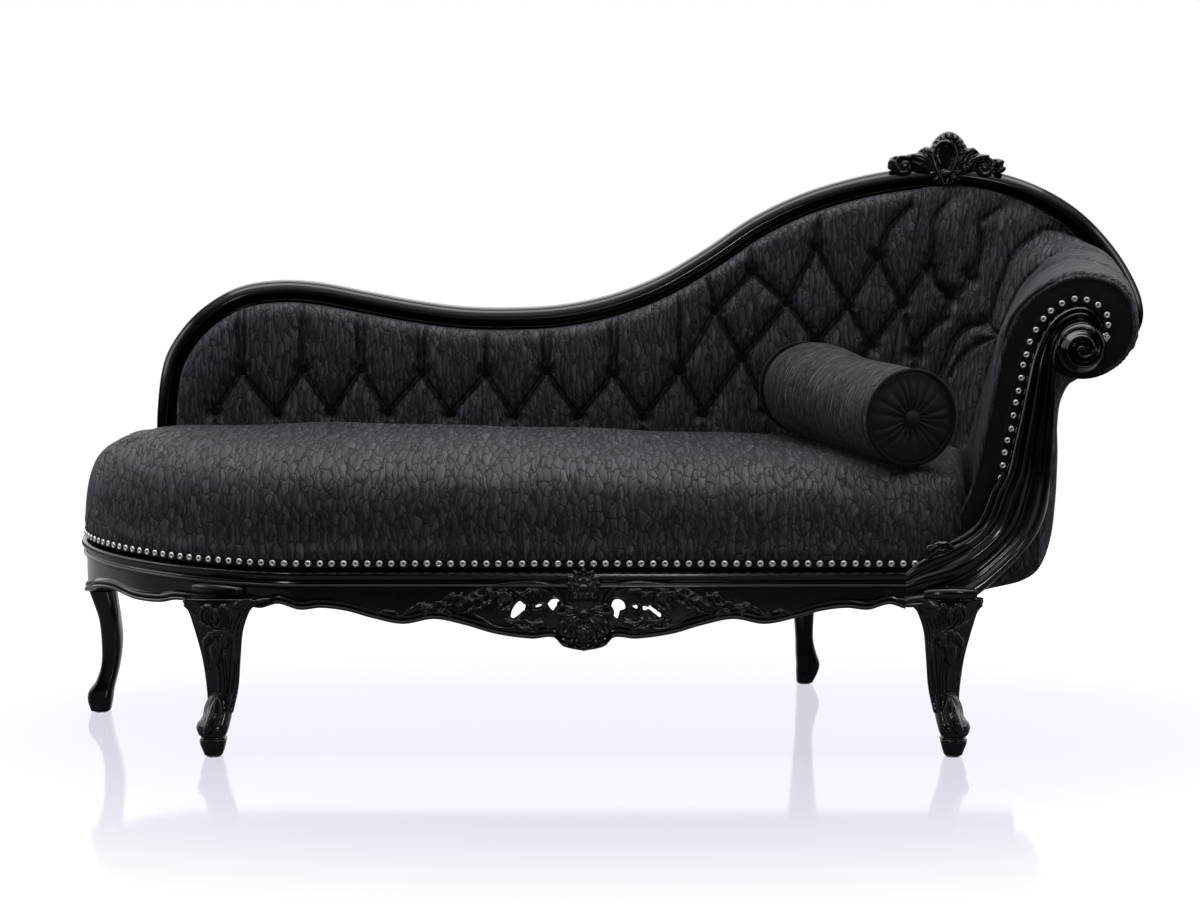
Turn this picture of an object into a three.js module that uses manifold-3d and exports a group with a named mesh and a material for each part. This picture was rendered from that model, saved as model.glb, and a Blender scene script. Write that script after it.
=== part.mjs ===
// A fainting couch in a carved rococo style: a low scrolling back that climbs to a carved crest at the
// head end, one rolled arm, a D-shaped foot end, four legs and a loose bolster. Millimetres, +Z up,
// X to the right as one stands in front of it, Y to the back.
import * as THREE from "three";
import { mergeVertices } from "three/addons/utils/BufferGeometryUtils.js";
import Module from "manifold-3d";

const wasm = await Module();
wasm.setup();

// Driving dimensions
const GAP = 0.3; // play between pieces that touch
const FRONT_Y = -300; // outer face of the front seat rail
const REAR_Y = 290; // outer face of the rear seat rail
const FOOT_X = -887; // left end of the D-shaped foot end
const FOOT_Y = 85; // where the foot end reaches furthest
const RAIL_TOP = 308; // top of the seat rails
const RAIL_THICK = 46; // seat rails at the top
const APRON_THICK = 18; // the thin apron under them
const SEAT_TOP = 478; // height of the sewn seat
const BAND_LOW = 313.5; // nail band round the seat
const BAND_HIGH = 326.5;
const BACK_Y = 278; // middle of the moulded back rail
const BACK_RAIL_WIDE = 38; // moulded back rail, seen from the front
const PAD_FACE_Y = 236; // front of the back padding
const PAD_BACK_Y = 267; // rear of the back padding
const PAD_LEFT = -746; // left end of the back padding
const BUTTON_PITCH = 109; // between two buttons of one row
const BUTTON_FIRST = -686; // first button of the lowest row
const BUTTON_DEEP = 17; // how far a button is drawn in
const ARM_FLARE = 0.158; // outward slope of the arm, 9 degrees in plan
const ARM_FRONT_Y = -268; // front edge of the arm padding
const ARM_PAD = 24; // thickness of the arm padding
const ROLL = { x: 770, z: 697, r: 83 }; // rolled arm at its front
const VOLUTE = { x: 763, z: 666, r: 39 }; // carved scroll on the post
const LEG_TOP = 246.7; // where the rails stand on the legs
const CREST_X = 624; // middle of the carved crest
const APRON_X = -26; // middle of the carved front apron
const BOLSTER = { near: [502, -250], far: [352, 172], r: 81, bottom: 467.3 };

// Materials
function finish(color, roughness, metalness = 0) {
  return new THREE.MeshStandardMaterial({ color, roughness, metalness });
}
const LACQUER = finish(0x101014, 0.15);
const BROCADE = finish(0x2b2b2f, 0.85);
const PLAIN_CLOTH = finish(0x17171a, 0.9);
const BEECH = finish(0xb08a5c, 0.6);
const STEEL = finish(0x9a9da3, 0.35, 0.9);
const JUTE = finish(0x9c8259, 0.9);
const LINING = finish(0x111113, 0.95);
const WADDING = finish(0xd8d4ca, 0.95);

// Small helpers
const v2 = (x, y) => new THREE.Vector2(x, y);
const v3 = (x, y, z) => new THREE.Vector3(x, y, z);
const mix = THREE.MathUtils.lerp;
const steps = (n) => Array.from({ length: n + 1 }, (_, i) => i / n);
const smooth = THREE.MathUtils.smoothstep;

// Height of a smooth line through points [x, y] with rising x.
function lineAt(points, x) {
  const last = points.length - 1;
  if (x <= points[0][0]) return points[0][1];
  if (x >= points[last][0]) return points[last][1];
  const i = points.findIndex((p) => p[0] > x) - 1;
  const slope = (k) => {
    const a = points[Math.max(k - 1, 0)];
    const b = points[Math.min(k + 1, last)];
    return (b[1] - a[1]) / (b[0] - a[0]);
  };
  const [x0, y0] = points[i];
  const [x1, y1] = points[i + 1];
  const w = x1 - x0;
  const t = (x - x0) / w;
  const t2 = t * t;
  const t3 = t2 * t;
  return (
    (2 * t3 - 3 * t2 + 1) * y0 + (t3 - 2 * t2 + t) * w * slope(i) +
    (3 * t2 - 2 * t3) * y1 + (t3 - t2) * w * slope(i + 1)
  );
}

// A closed skin from its points and triangles, with the faces turned outwards.
function skin(points, faces) {
  let volume = 0;
  const cross = v3(0, 0, 0);
  for (const [a, b, c] of faces) volume += points[a].dot(cross.crossVectors(points[b], points[c]));
  const turned = volume < 0 ? faces.map(([a, b, c]) => [a, c, b]) : faces;
  const geometry = new THREE.BufferGeometry();
  geometry.setAttribute("position", new THREE.Float32BufferAttribute(points.flatMap((p) => p.toArray()), 3));
  geometry.setIndex(turned.flat());
  return geometry;
}

// Triangles of a flat ring, turned the way the ring runs.
function capFaces(ring) {
  const normal = v3(0, 0, 0);
  ring.forEach((p, i) => normal.add(p.clone().cross(ring[(i + 1) % ring.length])));
  normal.normalize();
  const turn = new THREE.Quaternion().setFromUnitVectors(normal, v3(0, 0, 1));
  const flat = ring.map((p) => p.clone().applyQuaternion(turn)).map((p) => v2(p.x, p.y));
  return THREE.ShapeUtils.triangulateShape(flat, []).map(([a, b, c]) => {
    const area = flat[b].clone().sub(flat[a]).cross(flat[c].clone().sub(flat[a]));
    return area < 0 ? [a, c, b] : [a, b, c];
  });
}

// A body through a row of rings that all have the same number of points.
function loft(rings) {
  const n = rings[0].length;
  const faces = [];
  for (let i = 0; i + 1 < rings.length; i++) {
    for (let j = 0; j < n; j++) {
      const k = (j + 1) % n;
      faces.push([i * n + j, i * n + k, (i + 1) * n + k], [i * n + j, (i + 1) * n + k, (i + 1) * n + j]);
    }
  }
  const end = (rings.length - 1) * n;
  capFaces(rings[0]).forEach(([a, b, c]) => faces.push([a, c, b]));
  capFaces(rings[rings.length - 1]).forEach(([a, b, c]) => faces.push([end + a, end + b, end + c]));
  return skin(rings.flat(), faces);
}

// A ring-shaped body whose last section meets its first.
function hoop(rings) {
  const n = rings[0].length;
  const faces = [];
  rings.forEach((_, i) => {
    const m = (i + 1) % rings.length;
    for (let j = 0; j < n; j++) {
      const k = (j + 1) % n;
      faces.push([i * n + j, i * n + k, m * n + k], [i * n + j, m * n + k, m * n + j]);
    }
  });
  return skin(rings.flat(), faces);
}

// A pad between a front sheet and a rear sheet of points, both [column][row].
function pad(front, rear) {
  const nu = front.length;
  const nv = front[0].length;
  const at = (side, i, j) => (side * nu + i) * nv + j;
  const faces = [];
  const quad = (a, b, c, d) => faces.push([a, b, c], [a, c, d]);
  for (let i = 0; i + 1 < nu; i++) {
    for (let j = 0; j + 1 < nv; j++) {
      quad(at(0, i, j), at(0, i + 1, j), at(0, i + 1, j + 1), at(0, i, j + 1));
      quad(at(1, i, j), at(1, i, j + 1), at(1, i + 1, j + 1), at(1, i + 1, j));
    }
  }
  for (let i = 0; i + 1 < nu; i++) {
    quad(at(0, i, 0), at(1, i, 0), at(1, i + 1, 0), at(0, i + 1, 0));
    quad(at(0, i, nv - 1), at(0, i + 1, nv - 1), at(1, i + 1, nv - 1), at(1, i, nv - 1));
  }
  for (let j = 0; j + 1 < nv; j++) {
    quad(at(0, 0, j), at(0, 0, j + 1), at(1, 0, j + 1), at(1, 0, j));
    quad(at(0, nu - 1, j), at(1, nu - 1, j), at(1, nu - 1, j + 1), at(0, nu - 1, j + 1));
  }
  return skin([...front.flat(), ...rear.flat()], faces);
}

// A pad with a flat rear at y: only the border of its front sheet is carried back
function flatBackedPad(front, y) {
  const nu = front.length;
  const nv = front[0].length;
  const points = front.flat();
  const faces = [];
  for (let i = 0; i + 1 < nu; i++) {
    for (let j = 0; j + 1 < nv; j++) {
      const a = i * nv + j;
      faces.push([a, a + nv, a + nv + 1], [a, a + nv + 1, a + 1]);
    }
  }
  const border = [];
  for (let i = 0; i < nu - 1; i++) border.push(i * nv);
  for (let j = 0; j < nv - 1; j++) border.push((nu - 1) * nv + j);
  for (let i = nu - 1; i > 0; i--) border.push(i * nv + nv - 1);
  for (let j = nv - 1; j > 0; j--) border.push(j);
  const first = points.length;
  border.forEach((p) => points.push(v3(points[p].x, y, points[p].z)));
  border.forEach((p, i) => {
    const next = (i + 1) % border.length;
    faces.push([p, first + i, first + next], [p, first + next, border[next]]);
  });
  capFaces(points.slice(first)).forEach(([a, b, c]) => faces.push([first + a, first + c, first + b]));
  return skin(points, faces);
}

function toSolid(geometry) {
  const bare = geometry.index ? geometry.toNonIndexed() : geometry.clone();
  bare.deleteAttribute("normal");
  bare.deleteAttribute("uv");
  const merged = mergeVertices(bare, 1e-3);
  const vertProperties = merged.attributes.position.array;
  const triVerts = new Uint32Array(merged.index.array);
  return new wasm.Manifold(new wasm.Mesh({ numProp: 3, vertProperties, triVerts }));
}

function toGeometry(solid) {
  const mesh = solid.getMesh();
  const geometry = new THREE.BufferGeometry();
  geometry.setAttribute("position", new THREE.BufferAttribute(new Float32Array(mesh.vertProperties), 3));
  geometry.setIndex(new THREE.BufferAttribute(new Uint32Array(mesh.triVerts), 1));
  return geometry;
}

// The largest body of a solid, once small cut-off slivers are dropped
const largest = (solid) => solid.decompose().reduce((a, b) => (b.volume() > a.volume() ? b : a));
const join = (...geometries) => toGeometry(geometries.map(toSolid).reduce((a, b) => a.add(b)));
const cut = (geometry, ...tools) =>
  toGeometry(largest(tools.map(toSolid).reduce((a, b) => a.subtract(b), toSolid(geometry))));

function box(low, high) {
  const size = high.map((h, i) => h - low[i]);
  return new THREE.BoxGeometry(...size).translate(...low.map((l, i) => l + size[i] / 2));
}

// A board standing in the XZ plane: its outline, drawn as x and z, is given depth from y0 to y1.
function board(outline, y0, y1, holes = [], bevel = 0) {
  const shape = outline instanceof THREE.Shape ? outline : new THREE.Shape(outline.map(([x, z]) => v2(x, z)));
  shape.holes.push(...holes);
  const flat = new THREE.ExtrudeGeometry(shape, {
    depth: y1 - y0 - 2 * bevel, steps: 1, curveSegments: 6, bevelEnabled: bevel > 0,
    bevelThickness: bevel, bevelSize: bevel, bevelOffset: -bevel, bevelSegments: 1,
  });
  return flat.rotateX(Math.PI / 2).translate(0, y1 - bevel, 0);
}

// A round body turned about an axis that points along Y, from its profile of [radius, y].
function turned(profile, x, y, z, sides = 20) {
  const shape = new THREE.LatheGeometry(profile.map(([r, h]) => v2(r, h)), sides);
  return shape.translate(x, y, z);
}

const group = new THREE.Group();
function add(name, geometry, material) {
  const shown = geometry.index ? geometry.toNonIndexed() : geometry;
  shown.computeVertexNormals();
  const mesh = new THREE.Mesh(shown, material);
  mesh.name = name;
  group.add(mesh);
}

// The seat's outline in plan: straight along the front, then round the D-shaped foot end to the rear
const seatLine = new THREE.CurvePath();
const frontBend = v2(-470, FRONT_Y);
const footTip = v2(FOOT_X, FOOT_Y);
const rearBend = v2(-730, REAR_Y);
seatLine.add(new THREE.LineCurve(v2(489.5, FRONT_Y), frontBend));
seatLine.add(new THREE.CubicBezierCurve(frontBend, v2(-640, FRONT_Y), v2(FOOT_X, -110), footTip));
seatLine.add(new THREE.CubicBezierCurve(footTip, v2(FOOT_X, 215), v2(-830, REAR_Y), rearBend));
const seatLength = seatLine.getLength();

function seatPoint(t, out) {
  const p = seatLine.getPoint(t);
  const ahead = seatLine.getPoint(Math.min(t + 1e-4, 1));
  const behind = seatLine.getPoint(Math.max(t - 1e-4, 0));
  const d = ahead.sub(behind).normalize();
  return v2(p.x - d.y * out, p.y + d.x * out);
}

// Where along the outline the front half of it passes a given x
function seatShareAtX(x) {
  let low = 0;
  let high = 0.8;
  for (let i = 0; i < 40; i++) {
    const t = (low + high) / 2;
    if (seatLine.getPoint(t).x > x) low = t;
    else high = t;
  }
  return low;
}
const RAIL_JOINT = seatShareAtX(-583);

// Half of the front apron's lower edge, as [distance from its middle, z]
const APRON_EDGE = [
  [0, 178], [34, 186], [48, 200], [84, 198], [142, 206], [190, 220], [240, 230],
  [290, 222], [341, 232], [380, 243], [421, 248], [456, 245], [490, 254], [518, 246], [536, 247], [560, 247],
];
// The foot end's lower edge, as [share of the way round it, z]
const FOOT_EDGE = [
  [0, 247], [0.15, 247], [0.2, 239], [0.28, 237], [0.36, 244], [0.44, 238], [0.52, 222],
  [0.62, 212], [0.7, 222], [0.8, 240], [1, 240],
];

// One section of a seat rail: the outer face with its mouldings, then the rear face back to the top
function railRing(t, low, blockLow) {
  const face = [
    [-8, RAIL_TOP], [5, RAIL_TOP - 1], [9, RAIL_TOP - 7], [6, RAIL_TOP - 13], [2, RAIL_TOP - 18],
    [5, RAIL_TOP - 22], [4, RAIL_TOP - 27], [0, RAIL_TOP - 31], [0, mix(RAIL_TOP - 34, low + 12, 0.9)],
    [5, low + 8], [5, low + 2], [1, low],
  ];
  const rear = [
    [-APRON_THICK, low], [-APRON_THICK, blockLow], [-RAIL_THICK, blockLow], [-RAIL_THICK, RAIL_TOP],
  ];
  return [...face, ...rear].map(([out, z]) => {
    const p = seatPoint(t, out);
    return v3(p.x, p.y, z);
  });
}

function egg(x, z, rx, rz, turn) {
  const hole = new THREE.Path();
  hole.absellipse(x, z, rx, rz, 0, 2 * Math.PI, true, turn);
  const points = hole.getPoints(6).slice(0, -1);
  return board(points.map((p) => [p.x, p.y]), FRONT_Y - 30, FRONT_Y + 60);
}

function frontSeatRail() {
  const xs = [0, RAIL_JOINT * seatLength - 0.15];
  const distances = APRON_EDGE.map((p) => p[0]);
  const wanted = distances.flatMap((d) => [APRON_X - d, APRON_X + d]);
  const runs = wanted.filter((x) => x < 486 && x > -575).map((x) => seatShareAtX(x) * seatLength);
  const places = [...new Set([...xs, ...runs])].sort((a, b) => a - b);
  const rings = places.map((run) => {
    const t = run / seatLength;
    const x = seatLine.getPoint(t).x;
    const low = lineAt(APRON_EDGE, Math.abs(x - APRON_X));
    const overLeg = x < -545 ? LEG_TOP + 1.5 : 266;
    return railRing(t, low, Math.max(overLeg, low + 0.5));
  });
  const holes = [-1, 1].flatMap((side) => [
    egg(APRON_X + side * 50, 249, 9, 13, side * -0.1),
    egg(APRON_X + side * 109, 242, 20, 6.5, side * -0.66),
  ]);
  return cut(loft(rings), ...holes);
}

function footEndRail() {
  const start = RAIL_JOINT + 0.15 / seatLength;
  const rings = steps(18).map((s) => {
    const t = mix(start, 1, s);
    const low = lineAt(FOOT_EDGE, s);
    const overLeg = s < 0.16 || (s > 0.55 && s < 0.69) ? low + 1.5 : 266;
    return railRing(t, low, Math.max(overLeg, low + 0.5));
  });
  return loft(rings);
}

add("front_seat_rail", frontSeatRail(), LACQUER);
add("foot_end_rail", footEndRail(), LACQUER);
add("rear_seat_rail", box([-729.7, REAR_Y - RAIL_THICK, 238], [752, REAR_Y, RAIL_TOP]), LACQUER);

// A leg through levels of [z, left, right, front, rear], with rounded corners
function leg(levels, roundness = 0.62) {
  const rings = levels.map(([z, left, right, front, rear]) =>
    steps(12).slice(0, -1).map((s) => {
      const a = s * 2 * Math.PI + Math.PI / 12;
      const soft = (c) => Math.sign(c) * Math.abs(c) ** roundness;
      const x = (left + right) / 2 + (soft(Math.cos(a)) * (right - left)) / 2;
      const y = (front + rear) / 2 + (soft(Math.sin(a)) * (rear - front)) / 2;
      return v3(x, y, z);
    }));
  return loft(rings);
}

// A cabriole front leg for the left; the right one is its mirror image
const GLIDE = 3; // thickness of the glide nailed under each foot
const FRONT_LEG = [
  [GLIDE + 0.3, -641, -612, -294, -262], [12, -646, -608, -298, -258], [24, -648, -605, -301, -256],
  [38, -653, -603, -304, -254], [50, -655, -601, -303, -252], [64, -645, -598, -296, -248],
  [80, -633, -596, -288, -244], [104, -636, -591, -284, -240], [128, -636, -587, -286, -238],
  [156, -640, -585, -290, -234], [182, -648, -583, -295, -230], [208, -654, -579, -298, -226],
  [232, -659, -573, -298, -222], [LEG_TOP, -664, -566, -294, -220],
];
const RIGHT_LEG_MIRROR = -54; // the sum of the two legs' x
function mirrored(levels) {
  return levels.map(([z, left, right, front, rear]) =>
    [z, RIGHT_LEG_MIRROR - right, RIGHT_LEG_MIRROR - left, front, rear]);
}
add("front_left_leg", leg(FRONT_LEG), LACQUER);
add("front_right_leg", leg(mirrored(FRONT_LEG)), LACQUER);

const REAR_LEFT_LEG = [
  [GLIDE + 0.3, -884, -851, 38, 74], [22, -889, -847, 36, 76], [37, -887, -845, 36, 76],
  [54, -875, -841, 38, 78], [83, -865, -834, 40, 80], [125, -864, -829, 42, 84],
  [165, -868, -832, 42, 88], [190, -876, -836, 42, 92], [211.5, -884, -840, 40, 100],
];
const REAR_RIGHT_LEG = [
  [GLIDE + 0.3, 358, 387, 276, 308], [22, 357, 396, 274, 310], [37, 357, 399, 270, 308],
  [60, 355, 392, 262, 300], [85, 354, 386, 256, 292], [125, 351, 386, 252, 288],
  [180, 347, 390, 250, 288], [237.7, 342, 396, 248, 288],
];
add("rear_left_leg", leg(REAR_LEFT_LEG, 0.5), LACQUER);
add("rear_right_leg", leg(REAR_RIGHT_LEG, 0.5), LACQUER);

for (const [name, [, left, right, front, rear]] of [
  ["front_left_glide", FRONT_LEG[0]], ["front_right_glide", mirrored(FRONT_LEG)[0]],
  ["rear_left_glide", REAR_LEFT_LEG[0]], ["rear_right_glide", REAR_RIGHT_LEG[0]],
]) {
  const disc = new THREE.CylinderGeometry(12, 12, GLIDE, 16).rotateX(Math.PI / 2);
  add(name, disc.translate((left + right) / 2, (front + rear) / 2, GLIDE / 2), STEEL);
}

// Carvings laid on the wood. Each leaf is a low body with a raised vein down its middle, standing on the
// wood at y; lumps and leaves are joined and cut off flat behind.
function leaf(x, z, long, wide, turn, y, high) {
  const edge = [
    [0, 0], [wide * 0.5, long * 0.3], [wide * 0.42, long * 0.65],
    [0, long], [-wide * 0.42, long * 0.65], [-wide * 0.5, long * 0.3],
  ];
  const cos = Math.cos(turn);
  const sin = Math.sin(turn);
  const place = (a, b, c) => v3(x + a * cos + b * sin, c, z - a * sin + b * cos);
  const back = edge.map(([a, b]) => place(a, b, y + 2));
  const rim = edge.map(([a, b]) => place(a, b, y - high * 0.35));
  const vein = edge.map(([, b]) => place(0, mix(b, long * 0.5, 0.25), y - high));
  const n = edge.length;
  const faces = [];
  for (let j = 0; j < n; j++) {
    const k = (j + 1) % n;
    faces.push([j, k, n + k], [j, n + k, n + j]);
  }
  capFaces(back).forEach(([p, q, r]) => faces.push([p, r, q]));
  const root = 2 * n + 1; // the vein's lower and upper end
  const tip = 2 * n + 2;
  faces.push([n, n + 1, root], [n, root, n + 5], [n + 5, root, n + 4], [n + 4, root, tip]);
  faces.push([n + 1, n + 2, tip], [n + 1, tip, root], [n + 2, n + 3, tip], [n + 3, n + 4, tip]);
  return skin([...back, ...rim, ...vein.slice(0, 3)], faces);
}
function boss(x, y, z, r, high) {
  return new THREE.SphereGeometry(r, 8, 6).scale(1, high / r, 1).translate(x, y, z);
}
function relief(y, ...pieces) {
  return cut(join(...pieces), box([-1000, y, 0], [1000, y + 60, 1100]));
}

function kneeCarving(x) {
  const y = -298.4;
  const petals = [-0.9, 0, 0.9].map((turn) => leaf(x, 208, 26, 12, turn, y, 8));
  const drops = [0, 1, 2].map((k) => leaf(x, 208 - 17 * k, 24 - 2 * k, 10 - k, Math.PI, y, 6));
  return relief(y, boss(x, y, 208, 7, 9), ...petals, ...drops);
}
add("knee_carving_left", kneeCarving(-616), LACQUER);
add("knee_carving_right", kneeCarving(RIGHT_LEG_MIRROR + 616), LACQUER);

function apronCartouche() {
  const y = FRONT_Y - 9.4;
  const shell = [-1.2, -0.8, -0.4, 0, 0.4, 0.8, 1.2].map((turn) =>
    leaf(APRON_X, 236, 54, 17, Math.PI + turn, y, 12));
  const floret = [-1.6, -0.8, 0, 0.8, 1.6].map((turn) => leaf(APRON_X, 250, 36, 14, turn, y, 11));
  return relief(y, boss(APRON_X, y, 243, 13, 18), boss(APRON_X, y, 205, 16, 14), ...shell, ...floret);
}
add("apron_cartouche", apronCartouche(), LACQUER);

function apronFoliage(side) {
  const y = FRONT_Y - 5.4;
  const sprays = [0, 1, 2, 3].flatMap((k) => {
    const x = APRON_X + side * (152 + 21 * k);
    const z = 236 + 3 * k;
    return [
      leaf(x, z, 28 - 2 * k, 11, side * 1.35, y, 6),
      leaf(x, z, 24 - 2 * k, 10, side * 0.35, y, 6),
      leaf(x, z, 22 - 2 * k, 10, side * 2.4, y, 6),
    ];
  });
  const ends = [[142, 230], [142, 242], [232, 254], [232, 246]];
  const stem = board(ends.map(([d, z]) => [APRON_X + side * d, z]), y - 4, y);
  return relief(y, stem, ...sprays);
}
add("apron_carving_left", apronFoliage(-1), LACQUER);
add("apron_carving_right", apronFoliage(1), LACQUER);

// The moulded back rail: its outer edge, seen from the front, from the foot end round to the rolled arm
const backLine = new THREE.CatmullRomCurve3([
  [-793, RAIL_TOP + GAP], [-794, 400], [-793, 501], [-779, 591], [-757, 634], [-720, 677], [-673, 710],
  [-630, 727], [-565, 735], [-501, 731], [-415, 715], [-329, 699], [-244, 688], [-158, 686], [-72, 691],
  [14, 708], [100, 740], [186, 790], [271, 847], [356, 888], [442, 915], [530, 932], [623, 939], [710, 926],
  [784, 900], [850, 860], [905, 806], [944, 750], [966, 700], [968, 662], [950, 626], [915, 604], [868, 596],
].map(([x, z]) => v3(x, BACK_Y, z)), false, "centripetal");
backLine.arcLengthDivisions = 1200;

// A point at a share of the way along the back rail, moved outwards and to the front
function backPoint(share, out, front) {
  const p = backLine.getPointAt(share);
  const d = backLine.getTangentAt(share);
  return v3(p.x - d.z * out, BACK_Y - front, p.z + d.x * out);
}
function backShareAtX(x) {
  let low = 0.1;
  let high = 0.86;
  for (let i = 0; i < 40; i++) {
    const s = (low + high) / 2;
    if (backLine.getPointAt(s).x < x) low = s;
    else high = s;
  }
  return low;
}

const BACK_SECTION = [
  [-0.5, 10], [-3, 20], [-8, 23], [-13, 19], [-16, 11], [-24, 8], [-29, 14], [-33, 18], [-BACK_RAIL_WIDE, 14],
  [-BACK_RAIL_WIDE, -22], [-2, -22], [0, -12],
];
function backRail(from, to, stations, grow = 0) {
  const section = BACK_SECTION.map(([out, front]) =>
    [out + grow * (out < -BACK_RAIL_WIDE / 2 ? -1 : 1), front + grow * (front < 0 ? -1 : 1)]);
  const rings = steps(stations).map((s) =>
    section.map(([out, front]) => backPoint(mix(from, to, s), out, front)));
  return loft(rings);
}
const JOINT_LOW = backShareAtX(-380);
const JOINT_HIGH = backShareAtX(240);
const HALF_PLAY = 0.00006;
const FOOT_STATIONS = 18; // sections of the rail's two curved lengths
const HEAD_STATIONS = 30;
add("back_rail_foot", backRail(0, JOINT_LOW - HALF_PLAY, FOOT_STATIONS), LACQUER);
add("back_rail_middle", backRail(JOINT_LOW + HALF_PLAY, JOINT_HIGH - HALF_PLAY, 12), LACQUER);
add("back_rail_head", backRail(JOINT_HIGH + HALF_PLAY, 1, HEAD_STATIONS), LACQUER);

// The rail's inner edge as a height over x, for what is fitted inside it
const innerEdge = steps(160).map((s) => backPoint(mix(0.1, 0.84, s), -BACK_RAIL_WIDE, 0));
function innerHeight(x) {
  const i = innerEdge.findIndex((p, k) => k > 0 && p.x > x && innerEdge[k - 1].x <= x);
  if (i < 1) return x < 0 ? innerEdge[0].z : innerEdge[innerEdge.length - 1].z;
  const a = innerEdge[i - 1];
  const b = innerEdge[i];
  return mix(a.z, b.z, (x - a.x) / (b.x - a.x));
}

// The carved crest on top of the back rail: scrolls, leaves and a central shell
function crestCarving() {
  const top = 941;
  const y0 = BACK_Y - 26;
  const y1 = BACK_Y + 8;
  const base = board([
    [CREST_X - 104, top - 9], [CREST_X - 106, top + 6], [CREST_X - 92, top + 14], [CREST_X - 60, top + 17],
    [CREST_X - 36, top + 30], [CREST_X - 24, top + 48], [CREST_X, top + 57], [CREST_X + 24, top + 48],
    [CREST_X + 36, top + 30], [CREST_X + 60, top + 15], [CREST_X + 92, top + 8], [CREST_X + 106, top - 4],
    [CREST_X + 104, top - 19], [CREST_X + 60, top - 5], [CREST_X, top + 1.5], [CREST_X - 60, top - 1],
  ], y0 + 8, y1, [], 2);
  const face = y0 + 10;
  const fan = [-1.1, -0.72, -0.36, 0, 0.36, 0.72, 1.1].map((turn) =>
    leaf(CREST_X, top + 12, 46, 12, turn, face, 12));
  const largeScroll = [[0, -4], [15, -4], [15, 26], [9, 30], [0, 31]];
  const smallScroll = [[0, -2], [11, -2], [11, 26], [0, 29]];
  const scrolls = [-1, 1].flatMap((side) => [
    turned(largeScroll, CREST_X + side * 62, y0 - 2, top + (side < 0 ? 10 : 7), 14),
    turned(smallScroll, CREST_X + side * 94, y0, top + (side < 0 ? 2 : -8), 12),
    leaf(CREST_X + side * 30, top + 16, 34, 13, side * 0.9, face, 10),
  ]);
  return join(base, ...fan, ...scrolls);
}
const railUnderCrest = loft(steps(30).map((s) => {
  const share = mix(backShareAtX(CREST_X - 125), backShareAtX(CREST_X + 125), s);
  const edge = [[2, 40], [-60, 40], [-60, -40], [2, -40]];
  return edge.map(([out, front]) => backPoint(share, out, front));
}));
add("crest_carving", cut(crestCarving(), railUnderCrest), LACQUER);

// The scrolled arm post: pairs of points down its inner and outer edge, as x, z, from the seat rail
// up to where its mouldings end beside the volute
const POST = [
  [[490, RAIL_TOP], [490, 249]], [[516, 330], [535, 249]], [[544, 341], [579, 252]], [[566, 350], [612, 270]],
  [[591, 363], [649, 304]], [[610, 381], [686, 342]], [[624, 405], [708, 380]], [[632, 434], [719, 424]],
  [[650, 463], [721, 470]], [[658, 508], [722, 512]], [[669, 558], [724, 553]], [[679, 614], [725, 598]],
  [[688, 656], [724, 640]], [[706, 695], [727, 672]], [[723, 717], [737, 690]], [[749, 731], [752, 700]],
  [[771, 731], [768, 702]], [[788, 719], [781, 697]], [[797, 702], [788, 690]],
];
function postEdge(side) {
  const points = POST.map((p) => v3(p[side][0], 0, p[side][1]));
  return new THREE.CatmullRomCurve3(points, false, "centripetal");
}
const postInner = postEdge(0);
const postOuter = postEdge(1);
// How far the post's flutes and beads stand out, across its width from inner to outer edge
const POST_MOULD = [
  [0, 2], [0.1, 9], [0.2, 3], [0.32, 10], [0.44, 4], [0.56, 2], [0.68, 6], [0.82, 12], [0.94, 8], [1, 0],
];
const POST_FACE_Y = -289;
const POST_REAR_Y = -246;

function postStrip(grow = 0) {
  return loft(steps(26).map((t) => {
    const a = postInner.getPoint(t);
    const b = postOuter.getPoint(t);
    const across = b.clone().sub(a).normalize().multiplyScalar(grow);
    a.sub(across);
    b.add(across);
    const relief = mix(1, 0.6, smooth(t, 0.6, 1));
    const clear = grow * 20; // a grown post, used as a cutter, also clears what lies in front of it
    const face = POST_MOULD.map(([s, h]) =>
      v3(mix(a.x, b.x, s), POST_FACE_Y - h * relief - clear, mix(a.z, b.z, s)));
    const rear = mix(POST_REAR_Y, ARM_FRONT_Y - 8.5, smooth(t, 0.36, 0.46)) + grow;
    return [...face, v3(b.x, rear, b.z), v3(a.x, rear, a.z)];
  }));
}
function armFrontPost() {
  const dome = [
    [0, -32], [5, -31], [12, -24], [20, -27], [27, -23], [33, -20], [VOLUTE.r, -10], [VOLUTE.r, 12], [0, 12],
  ];
  const eye = turned(dome, VOLUTE.x, POST_FACE_Y, VOLUTE.z, 22);
  return join(postStrip(), eye);
}
add("arm_front_post", armFrontPost(), LACQUER);

// The plain cloth facing round the roll, from the tip by the seat up and round the volute
function armFacing(grow = 0) {
  const outer = [
    [563, 358], [576, 389], [594, 423], [603, 458], [615, 509],
    [628, 575], [640, 662], [653, 712], [680, 745], [711, 768],
  ];
  const roll = steps(18).map((s) => {
    const a = mix(1.95, -2.55, s);
    return [ROLL.x + ROLL.r * Math.cos(a), ROLL.z + ROLL.r * Math.sin(a)];
  });
  const inner = steps(14).map((s) => {
    const a = mix(-2.7, 0.35, s);
    return [VOLUTE.x + (VOLUTE.r + 2) * Math.cos(a), VOLUTE.z + (VOLUTE.r + 2) * Math.sin(a)];
  });
  const along = steps(26).map((s) => {
    const t = mix(1, 3.4 / 18, s);
    const p = postInner.getPoint(t);
    const d = postInner.getTangent(t);
    return [p.x - d.z * 1.6, p.z + d.x * 1.6];
  });
  const grown = outer.map(([x, z], i) => [x - grow, z + (i ? grow : -3 * grow)]);
  return board([...grown, ...roll, ...inner, ...along], ARM_FRONT_Y - 8 - grow, ARM_FRONT_Y - GAP + grow);
}
add("arm_facing", armFacing(), PLAIN_CLOTH);

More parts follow.
